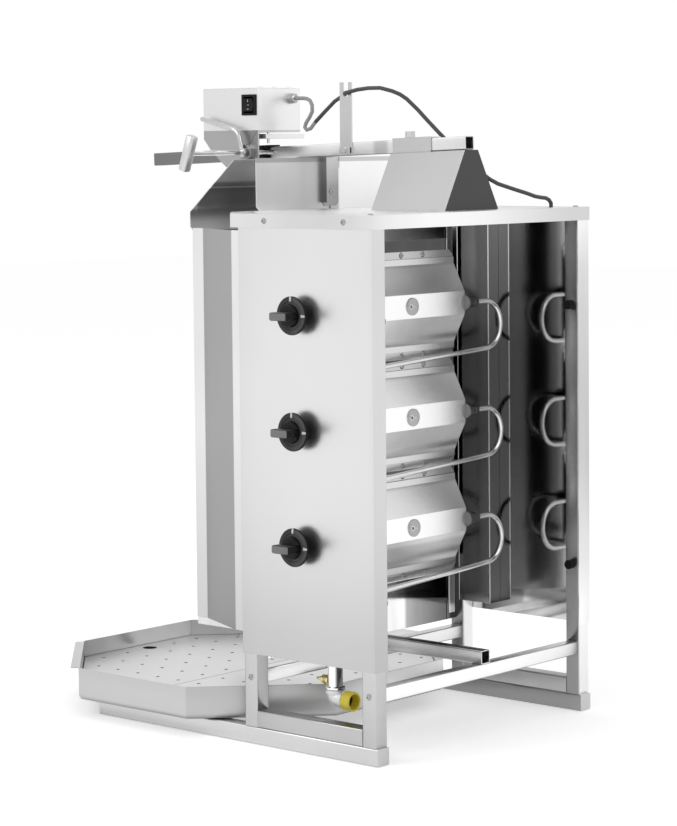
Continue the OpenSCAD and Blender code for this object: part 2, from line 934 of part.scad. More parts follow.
module inlet_cap() {
    y = pipe_y + elbow_l;
    z = pipe_z - elbow_h;
    color("gold") difference() {
        rod_y(pipe_x, y, y + cap_l, elbow_d, z);
        rod_y(pipe_x, y + cap_floor, y + cap_l + over, elbow_d - 2 * cap_wall, z);
    }
}

// Motor head

cheek_step = 5;
cheek_knee = 11.5;
cheek_low = 23;
cheek_cut_share = 0.12;
cheek_knee_share = 0.29;
cheek_low_share = 0.42;

module carriage() {
    low = clamp_z - cheek_low;
    cut = motor_d * cheek_cut_share;
    y1 = motor_yb - motor_d;
    color("silver") difference() {
        union() {
            translate([motor_x - motor_w, y1, motor_z - plate_t])
                cube([motor_w, motor_d, plate_t]);
            translate([motor_x - plate_t, 0, 0]) rotate([90, 0, 90]) linear_extrude(plate_t) polygon([
                [y1, motor_z], [y1, motor_z - shield_z], [y1 + cut, clamp_z + cheek_step],
                [y1 + motor_d * cheek_knee_share, clamp_z - cheek_knee],
                [y1 + motor_d * cheek_low_share, low], [motor_yb - cut, low],
                [motor_yb, low + cut], [motor_yb, motor_z]
            ]);
            for (x = [beam_x + bar / 2 + bush_wall, beam_x - bar / 2 - bush_wall - web_t])
                translate([x, bush_front, under_beam(bush_front) + bar / 2])
                    cube([web_t, web_back - bush_front, motor_z - under_beam(bush_front) - bar / 2 - over]);
            translate([motor_x - clear, clamp_y, clamp_z]) rotate([0, 90, 0])
                cylinder(d = nut_af / cos(30), h = nut_h + clear, $fn = 6);
            translate([motor_x - clear, 0, 0]) rotate([90, 0, 90]) linear_extrude(over) polygon([
                [clamp_y - nut_af, motor_z], [clamp_y, clamp_z + nut_af / 2], [motor_yb, motor_z]
            ]);
        }
        rod_x(motor_x - plate_t - over, motor_x + nut_h + over, screw_d + 2 * fit, clamp_y, clamp_z);
        translate([0, spit_y, motor_z - plate_t - over])
            cylinder(d = shaft_d + 2 * over, h = plate_t + 2 * over);
    }
}

nut_h = 8;

bush_slit = 1.6;
bush_slit_back = 12;

module beam_bush() {
    w = bar + 2 * bush_wall;
    l = bush_back - bush_front;
    color("black") lean() translate([0, bush_front - beam_rear_y, 0]) difference() {
        translate([-w / 2, 0, -bush_wall]) cube([w, l, w]);
        translate([-bar / 2 - clear, -over, -clear])
            cube([bar + 2 * clear, l + 2 * over, bar + 2 * clear]);
        translate([bar / 2, l - bush_slit_back, -bush_wall - over])
            cube([bush_wall + over, bush_slit, w + 2 * over]);
    }
}

module motor_case() {
    color("whitesmoke") translate([motor_x - motor_w, motor_yb - motor_d, motor_z]) difference() {
        cube([motor_w, motor_d, motor_h]);
        translate([sheet, sheet, sheet])
            cube([motor_w - 2 * sheet, motor_d - 2 * sheet, motor_h]);
        translate([motor_w - motor_x, spit_y - motor_yb + motor_d, -over])
            cylinder(d = shaft_d + 2 * over, h = sheet + 2 * over);
        translate([motor_w - 2 * sheet, switch_y - motor_yb + motor_d - window_w / 2 - sheet,
                switch_z - motor_z - window_h / 2 - sheet])
            cube([3 * sheet, window_w + 2 * sheet, window_h + 2 * sheet]);
    }
}

lid_screw_share = 1 / 3;

module motor_lid() {
    color("whitesmoke") union() {
        translate([motor_x - motor_w, motor_yb - motor_d, motor_z + motor_h])
            cube([motor_w, motor_d, sheet]);
        for (k = [-1:1])
            screw_at(motor_x - motor_w / 2 + k * motor_w * lid_screw_share,
                motor_yb - screw_head_d, motor_z + motor_h + sheet, "top");
    }
}

gear_left = 32;
gear_w = 41.8;
gear_d = 58;
gear_back = 32.5;
gear_h = 34;
can_d = 30;
can_l = 38;
can_x = 11.6;

module gear_motor() {
    y = spit_y + gear_back - gear_d;
    color("dimgray") difference() {
        union() {
            translate([-gear_left, y, motor_z + sheet]) cube([gear_w, gear_d, gear_h]);
            rod_y(-can_x, y - can_l, y + over, can_d, motor_z + gear_h / 2 + sheet);
        }
        translate([0, spit_y, motor_z]) cylinder(d = shaft_neck_d + 2 * fit, h = gear_h / 2 + clear);
    }
}

module drive_shaft() {
    color("gray") translate([0, spit_y, 0]) difference() {
        union() {
            translate([0, 0, shaft_z]) cylinder(d = shaft_d, h = shaft_head);
            translate([0, 0, shaft_z]) cylinder(d = shaft_neck_d, h = motor_z - shaft_z + gear_h / 2);
        }
        translate([-socket_w / 2, -socket_w / 2, shaft_z - over])
            cube([socket_w, socket_w, shaft_head / 2 + over]);
    }
}

module switch_bezel() {
    color("black") difference() {
        union() {
            translate([motor_x, switch_y - switch_w / 2, switch_z - switch_h / 2])
                cube([bezel_t, switch_w, switch_h]);
            translate([motor_x - window_w, switch_y - window_w / 2 - sheet,
                    switch_z - window_h / 2 - sheet])
                cube([window_w + over, window_w + 2 * sheet, window_h + 2 * sheet]);
        }
        translate([motor_x - window_w + sheet, switch_y - window_w / 2, switch_z - window_h / 2])
            cube([window_w + bezel_t, window_w, window_h]);
    }
}

rocker_in = 3;
rocker_x = motor_x - rocker_in;
rocker_r = window_h / 2 - clear;

module rocker_switch() {
    color("black") translate([rocker_x, switch_y + window_w / 2 - clear, switch_z]) rotate([90, 0, 0])
        linear_extrude(window_w - 2 * clear) polygon([
            [-rocker_r * 0.33, -rocker_r * 0.66], [rocker_r * 0.59, -rocker_r * 0.8],
            [rocker_r * 0.45, 0], [rocker_r * 0.59, rocker_r * 0.8], [-rocker_r * 0.33, rocker_r * 0.66]
        ]);
}

gland_l = 11;
gland_d = 18;

module cable_gland() {
    color("dimgray") union() {
        translate([gland_x, motor_yb, gland_z]) rotate([-90, 0, 0])
            cylinder(d = gland_d, h = gland_l * 0.36, $fn = 6);
        rod_y(gland_x, motor_yb, motor_yb + gland_l * 0.5, gland_d * 0.72, gland_z);
        rod_y(gland_x, motor_yb + gland_l * 0.45, motor_yb + gland_l, gland_d * 0.8, gland_z);
    }
}

cross_d = 12.5;
cross_tilt = 19;
grip_x = beam_x + bar / 2 + clear + screw_l;

module clamp_screw() {
    color("silver") union() {
        rod_x(beam_x + bar / 2 + clear, grip_x, screw_d, clamp_y, clamp_z);
        translate([grip_x, clamp_y, clamp_z]) rotate([-cross_tilt, 0, 0])
            translate([0, 0, -cross_l / 2]) cylinder(d = cross_d, h = cross_l);
    }
}

lever_d = 7;
hub_d = 14;
hub_l = 7;
lever_x = motor_x + nut_h + clear;
lever_up = 34;
lever_fwd = 11;
lever_l = 78;
lever_rise = 19;
lever_tip = 8;

module lever_rod(a, b, d) {
    v = b - a;
    translate([0, a[0], a[1]]) rotate([-atan2(v[0], v[1]), 0, 0]) cylinder(d = d, h = norm(v));
}

module clamp_lever() {
    a = [-lever_fwd, lever_up];
    b = a + [-lever_l, lever_rise];
    color("silver") difference() {
        translate([lever_x + hub_l / 2, clamp_y, clamp_z]) union() {
            rod_x(-hub_l / 2, hub_l / 2, hub_d, 0, 0);
            lever_rod([-lever_fwd / lever_d, hub_d / 3], a, lever_d);
            translate([0, a[0], a[1]]) sphere(d = lever_d + clear);
            lever_rod(a, b, lever_d);
            lever_rod(b - (b - a) / norm(b - a) * lever_tip, b + (b - a) / norm(b - a) * clear, lever_tip);
        }
        rod_x(lever_x - over, lever_x + hub_l + over, screw_d + 2 * fit, clamp_y, clamp_z);
    }
}

hang_d = 5;
hang_l = 17;
hang_x = 7;
hang_far = 53;
hang_front = 21;

module heat_shield() {
    top = motor_z - shield_z + shield_lip + shield_t;
    y1 = motor_yb - motor_d - shield_front;
    y2 = motor_yb + shield_front;
    plan = [
        [shield_x, y1], [shield_x, y2], [-shield_far + shield_front * 3, y2], [-shield_far, y1 + motor_d / 2],
        [-shield_far, y1]
    ];
    color("silver") difference() {
        union() {
            translate([0, 0, top - shield_t]) linear_extrude(shield_t) polygon(plan);
            translate([0, 0, top - shield_t - shield_lip]) linear_extrude(shield_lip + shield_t / 2)
                difference() {
                    polygon(plan);
                    offset(delta = -shield_t) polygon(plan);
                }
            for (p = [[hang_x, motor_yb - hang_d / 2], [-hang_far, motor_yb - motor_d + hang_front]])
                translate([p[0], p[1], 0]) {
                    translate([0, 0, motor_z - plate_t - hang_l]) cylinder(d = hang_d, h = hang_l);
                    translate([0, 0, top - shield_t - hang_d]) cylinder(d = hang_d * 2, h = hang_d);
                }
        }
        translate([0, spit_y, top - shield_t - over])
            cylinder(d = shaft_d + 2 * over, h = shield_t + 2 * over);
        translate([beam_x - bar / 2 - bush_wall - web_t - over, bush_front - over, top - shield_t - over])
            cube([bar + 2 * (bush_wall + web_t + over), web_back - bush_front + 2 * over,
                shield_t + 2 * over]);
    }
}

// Motor cable, swept along its route

function cable_dir(i) =
    let (n = len(cable_pts) - 1)
    i <= 1 ? unit(cable_pts[1] - cable_pts[0]) :
    i >= n - 1 ? unit(cable_pts[n] - cable_pts[n - 1]) :
    unit(unit(cable_pts[i] - cable_pts[i - 1]) + unit(cable_pts[i + 1] - cable_pts[i]));
function carried(v, t) = unit(v - t * (v * t));
function cable_ups(i, u) =
    i >= len(cable_pts) ? [] :
    let (v = carried(u, cable_dir(i))) concat([v], cable_ups(i + 1, v));

module power_cable() {
    n = len(cable_pts);
    ups = cable_ups(0, [0, 0, 1]);
    pts = [for (i = [0:n - 1], k = [0:cable_sides - 1])
        let (a = 360 * k / cable_sides, u = ups[i], w = cross(cable_dir(i), u))
        cable_pts[i] + cable_d / 2 * (cos(a) * u + sin(a) * w)];
    sides = [for (i = [0:n - 2], k = [0:cable_sides - 1])
        let (a = i * cable_sides + k, b = i * cable_sides + (k + 1) % cable_sides)
        [a, a + cable_sides, b + cable_sides, b]];
    ends = [
        [for (k = [0:cable_sides - 1]) k],
        [for (k = [cable_sides - 1:-1:0]) (n - 1) * cable_sides + k]
    ];
    color("dimgray") polyhedron(pts, concat(sides, ends));
}

// Small parts

bumper_d = 14;
bumper_h = 10;
bumper_top = 146;
bumper_low = 541;
bumper_zs = [post_top - bumper_top, post_top - bumper_low];

module bumpers() {
    color("black") for (side = [0, 1], z = bumper_zs) mirror([side, 0, 0])
        rod_x(x_in - bumper_h, x_in, bumper_d, yb - tube / 2, z);
}

module screw_head() {
    difference() {
        cylinder(d1 = screw_head_d, d2 = screw_head_d * 0.7, h = screw_head_h, $fn = 32);
        for (a = [0, 90]) rotate(a)
            translate([-screw_head_d / 4, -screw_head_h / 4, screw_head_h / 2])
                cube([screw_head_d / 2, screw_head_h / 2, screw_head_h]);
    }
}

module screw_at(x, y, z, face) {
    translate([x, y, z]) rotate(face == "side" ? [0, 90, 0] : face == "rear" ? [-90, 0, 0] : [0, 0, 0])
        screw_head();
}

row_left = 3;
row_step = 50;
row_rim = 5.5;
strap_screw_x = 16.7;

module fasteners() {
    flange_screw_z = top_z - flange_h / 2;
    color("gray") {
        for (side = [0, 1]) mirror([side, 0, 0]) {
            for (y = [yf + tube / 2, yb - tube / 2]) screw_at(xr, y, cross_z + bar / 2, "side");
            for (y = [yf + 2 * tube, yb - 2 * tube]) screw_at(cover_x, y, flange_screw_z, "side");
        }
        for (z = burner_zs, k = [-1:1], up = [-1, 1])
            screw_at(burner_x - row_left + k * row_step, flange_y + sheet,
                z + up * (burner_h / 2 - row_rim), "rear");
        screw_at(strap_screw_x - strap_left, hood_yb + 2 * sheet, top_z + strap_screw_up, "rear");
        for (x = [-1, 1], y = [yf, yb - tube]) screw_at(x * (xr - tube / 2), y + tube / 2, top_z, "top");
    }
}

base_rail_left();
base_rail_right();
front_post_left();
front_post_right();
rear_post_left();
rear_post_right();
side_rail_left();
side_rail_right();
front_cross_rail();
rear_cross_rail();
lower_beam();
spit_bearing();
top_cover();
control_panel();
side_panel_left();
inner_wall_left();
inner_wall_right();
wing_left();
wing_right();
reflector_left();
reflector_right();
hood_front();
hood_back();
hood_strap();
beam_support();
beam_sleeve();
sleeve_bolt();
upper_beam();
cable_fork();
tray();
drain_plate_front();
drain_plate_rear();
burner_1();
burner_2();
burner_3();
burner_plaques();
injectors();
gas_tubes();
gas_valves();
knob_1();
knob_2();
knob_3();
manifold();
inlet_elbow();
inlet_cap();
carriage();
beam_bush();
motor_case();
motor_lid();
gear_motor();
drive_shaft();
switch_bezel();
rocker_switch();
cable_gland();
clamp_screw();
clamp_lever();
heat_shield();
power_cable();
bumpers();
fasteners();
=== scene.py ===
import math

import bpy
from mathutils import Matrix, Vector


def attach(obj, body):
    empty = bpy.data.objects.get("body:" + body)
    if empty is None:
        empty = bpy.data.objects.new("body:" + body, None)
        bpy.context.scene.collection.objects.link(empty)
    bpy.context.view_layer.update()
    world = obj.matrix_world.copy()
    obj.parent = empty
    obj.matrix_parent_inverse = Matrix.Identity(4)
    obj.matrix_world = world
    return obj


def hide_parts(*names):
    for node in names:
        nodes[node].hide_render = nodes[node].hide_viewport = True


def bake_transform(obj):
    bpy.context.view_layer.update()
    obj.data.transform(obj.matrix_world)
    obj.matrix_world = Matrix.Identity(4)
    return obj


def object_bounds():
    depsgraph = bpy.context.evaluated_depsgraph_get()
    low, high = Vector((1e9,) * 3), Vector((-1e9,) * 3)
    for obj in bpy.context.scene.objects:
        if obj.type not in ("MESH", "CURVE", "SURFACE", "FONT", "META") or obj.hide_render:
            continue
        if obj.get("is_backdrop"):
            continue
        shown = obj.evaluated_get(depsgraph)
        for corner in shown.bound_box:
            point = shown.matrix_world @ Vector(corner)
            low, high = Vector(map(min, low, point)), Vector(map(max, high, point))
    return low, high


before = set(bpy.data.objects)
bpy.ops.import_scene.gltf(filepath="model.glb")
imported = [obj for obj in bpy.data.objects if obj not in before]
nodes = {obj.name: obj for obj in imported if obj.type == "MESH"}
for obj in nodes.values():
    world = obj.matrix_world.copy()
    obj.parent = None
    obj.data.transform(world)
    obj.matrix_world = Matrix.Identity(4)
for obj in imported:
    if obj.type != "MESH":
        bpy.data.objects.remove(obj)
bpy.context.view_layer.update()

MM = 0.001
scene = bpy.context.scene
scene.view_settings.view_transform = "Standard"

# Camera

CAM_AT = (3.04284, 2.68128, 0.86848)
CAM_TURN = (131.4319, 3.5, -0.5366)
PHOTO_H = 826
FOCAL_PX = 2685.03
CENTRE_Y_PX = 305.876
SENSOR = 36

yaw, pitch, roll = [math.radians(a) for a in CAM_TURN]
back = Vector((math.sin(yaw) * math.cos(pitch), -math.cos(yaw) * math.cos(pitch), math.sin(pitch)))
right = Vector((math.cos(yaw), math.sin(yaw), 0))
up = back.cross(right)
cam_x = right * math.cos(roll) + up * math.sin(roll)
cam_y = -right * math.sin(roll) + up * math.cos(roll)
cam_data = bpy.data.cameras.new("camera")
cam = bpy.data.objects.new("camera", cam_data)
scene.collection.objects.link(cam)
cam.matrix_world = Matrix((
    (cam_x.x, cam_y.x, back.x, CAM_AT[0]),
    (cam_x.y, cam_y.y, back.y, CAM_AT[1]),
    (cam_x.z, cam_y.z, back.z, CAM_AT[2]),
    (0, 0, 0, 1),
))
cam_data.sensor_width = SENSOR
cam_data.lens = FOCAL_PX * SENSOR / PHOTO_H
cam_data.shift_y = -(PHOTO_H / 2 - CENTRE_Y_PX) / PHOTO_H
cam_data.clip_start = 0.1
cam_data.clip_end = 100
scene.camera = cam

# Node helpers for materials


def new_mat(name):
    m = bpy.data.materials.new(name)
    m.use_nodes = True
    nt = m.node_tree
    nt.nodes.clear()
    out = nt.nodes.new("ShaderNodeOutputMaterial")
    bsdf = nt.nodes.new("ShaderNodeBsdfPrincipled")
    nt.links.new(bsdf.outputs["BSDF"], out.inputs["Surface"])
    return m, nt, bsdf


def coords(nt):
    return nt.nodes.new("ShaderNodeTexCoord").outputs["Object"]


def mapped(nt, src, scale):
    n = nt.nodes.new("ShaderNodeMapping")
    n.inputs["Scale"].default_value = scale
    nt.links.new(src, n.inputs["Vector"])
    return n.outputs["Vector"]


def noise(nt, src, scale, detail=4.0, rough=0.5):
    n = nt.nodes.new("ShaderNodeTexNoise")
    n.inputs["Scale"].default_value = scale
    n.inputs["Detail"].default_value = detail
    n.inputs["Roughness"].default_value = rough
    nt.links.new(src, n.inputs["Vector"])
    return n.outputs["Fac"]


def math_node(nt, op, a, b=None):
    n = nt.nodes.new("ShaderNodeMath")
    n.operation = op
    for i, v in enumerate((a, b)):
        if isinstance(v, (int, float)):
            n.inputs[i].default_value = v
        elif v is not None:
            nt.links.new(v, n.inputs[i])
    return n.outputs[0]


def remap(nt, v, a, b, c, d, clamp=True):
    n = nt.nodes.new("ShaderNodeMapRange")
    n.clamp = clamp
    nt.links.new(v, n.inputs[0])
    for i, x in enumerate((a, b, c, d)):
        n.inputs[i + 1].default_value = x
    return n.outputs[0]


def split(nt, v):
    n = nt.nodes.new("ShaderNodeSeparateXYZ")
    nt.links.new(v, n.inputs[0])
    return n.outputs


def grey_from(nt, v, tint=(1, 1, 1)):
    n = nt.nodes.new("ShaderNodeCombineXYZ")
    for i in range(3):
        nt.links.new(math_node(nt, "MULTIPLY", v, tint[i]), n.inputs[i])
    return n.outputs[0]


def painted_light_along(nt, src, axis, stops):
    """Painted light and shade along an axis: the share of the tone, with stops as (place in mm, share)."""
    lo, hi = stops[0][0], stops[-1][0]
    c = split(nt, src)["XYZ".index(axis)]
    n = nt.nodes.new("ShaderNodeValToRGB")
    nt.links.new(remap(nt, c, lo * MM, hi * MM, 0, 1), n.inputs[0])
    el = n.color_ramp.elements
    while len(el) < len(stops):
        el.new(0.5)
    for e, (p, s) in zip(el, stops):
        e.position = (p - lo) / (hi - lo)
    for e, (p, s) in zip(el, stops):
        e.color = (s, s, s, 1)
    return n.outputs["Color"]


def bump(nt, bsdf, height, strength, distance, bevel=0.0):
    b = nt.nodes.new("ShaderNodeBump")
    b.inputs["Strength"].default_value = strength
    b.inputs["Distance"].default_value = distance
    nt.links.new(height, b.inputs["Height"])
    if bevel:
        v = nt.nodes.new("ShaderNodeBevel")
        v.samples = 4
        v.inputs["Radius"].default_value = bevel
        nt.links.new(v.outputs[0], b.inputs["Normal"])
    nt.links.new(b.outputs[0], bsdf.inputs["Normal"])


def painted_face_shade(nt, tones):
    """Painted shade: a tone for each way that a face looks, such as +X or -Z, so each side is lighter or
    darker as light falls on it.
    """
    g = nt.nodes.new("ShaderNodeNewGeometry")
    s = split(nt, g.outputs["Normal"])
    total = None
    for key, tone in tones.items():
        comp = s["XYZ".index(key[1])]
        if key[0] == "-":
            comp = math_node(nt, "MULTIPLY", comp, -1)
        w = math_node(nt, "MAXIMUM", comp, 0.0)
        w = math_node(nt, "MULTIPLY", w, w)
        part = math_node(nt, "MULTIPLY", w, tone)
        total = part if total is None else math_node(nt, "ADD", total, part)
    return total


GRAIN_SCALE = 18


def steel(name, tone, rough=0.3, grain=(1, 1, 60), amount=0.05, faces=None, painted_light_ramps=(),
          bevel=0.0008, cloud=0.06, rough_var=0.08, painted_reflection_streak=None, relief=0.08):
    """Stainless steel: a tone, grain along one axis and faint clouds; face tones paint shade by the way a
    face looks, gradients along an axis paint light and shade, and streaks paint reflections.
    """
    m, nt, bsdf = new_mat(name)
    src = coords(nt)
    fine = noise(nt, mapped(nt, src, tuple(GRAIN_SCALE * g for g in grain)), 30, 6, 0.65)
    wide = noise(nt, src, 5.0, 3, 0.5)
    v = math_node(nt, "ADD", remap(nt, fine, 0.25, 0.75, -amount, amount, False),
                  remap(nt, wide, 0.3, 0.7, -cloud, cloud, False))
    v = math_node(nt, "ADD", v, 1.0)
    v = math_node(nt, "MULTIPLY", v, painted_face_shade(nt, faces) if faces else tone)
    if painted_reflection_streak:
        scale, low, high = painted_reflection_streak
        s = noise(nt, mapped(nt, src, scale), 1.0, 3, 0.55)
        v = math_node(nt, "MULTIPLY", v, remap(nt, s, 0.35, 0.65, low, high))
    for axis, stops in painted_light_ramps:
        v = math_node(nt, "MULTIPLY", v, painted_light_along(nt, src, axis, stops))
    nt.links.new(grey_from(nt, v), bsdf.inputs["Base Color"])
    bsdf.inputs["Metallic"].default_value = 1.0
    r = remap(nt, fine, 0.2, 0.8, max(rough - rough_var, 0.03), rough + rough_var)
    nt.links.new(r, bsdf.inputs["Roughness"])
    bump(nt, bsdf, fine, relief, 0.0004, bevel)
    return m


PEBBLE_SCALE = 900
SPECKLE = 0.05
PEBBLE_BUMP = 0.15
PLAIN_BEVEL = 0.0005


def plain(name, color, rough=0.5, metallic=0.0, painted_light_ramps=(), shine=0.5):
    """Moulded plastic, rubber or cast metal: a colour with a fine pebble and slight variation; gradients
    along an axis paint light and shade.
    """
    m, nt, bsdf = new_mat(name)
    src = coords(nt)
    f = noise(nt, src, PEBBLE_SCALE, 3, 0.6)
    w = noise(nt, src, 25, 2, 0.5)
    v = math_node(nt, "ADD", remap(nt, f, 0.3, 0.7, -SPECKLE, SPECKLE, False),
                  remap(nt, w, 0.3, 0.7, 1 - SPECKLE, 1 + SPECKLE, False))
    for axis, stops in painted_light_ramps:
        v = math_node(nt, "MULTIPLY", v, painted_light_along(nt, src, axis, stops))
    nt.links.new(grey_from(nt, v, color), bsdf.inputs["Base Color"])
    bsdf.inputs["Metallic"].default_value = metallic
    bsdf.inputs["Specular IOR Level"].default_value = shine
    nt.links.new(remap(nt, f, 0.2, 0.8, rough - 0.06, rough + 0.06), bsdf.inputs["Roughness"])
    bump(nt, bsdf, f, PEBBLE_BUMP, 0.0002, PLAIN_BEVEL)
    return m


# Materials, with shade painted by the way a face looks and light and shade painted in gradients along axes
# in millimetres

UP = (60, 60, 1)
ALONG_X = (1, 60, 60)
ALONG_Y = (60, 1, 60)
ROUND = (1, 1, 1)
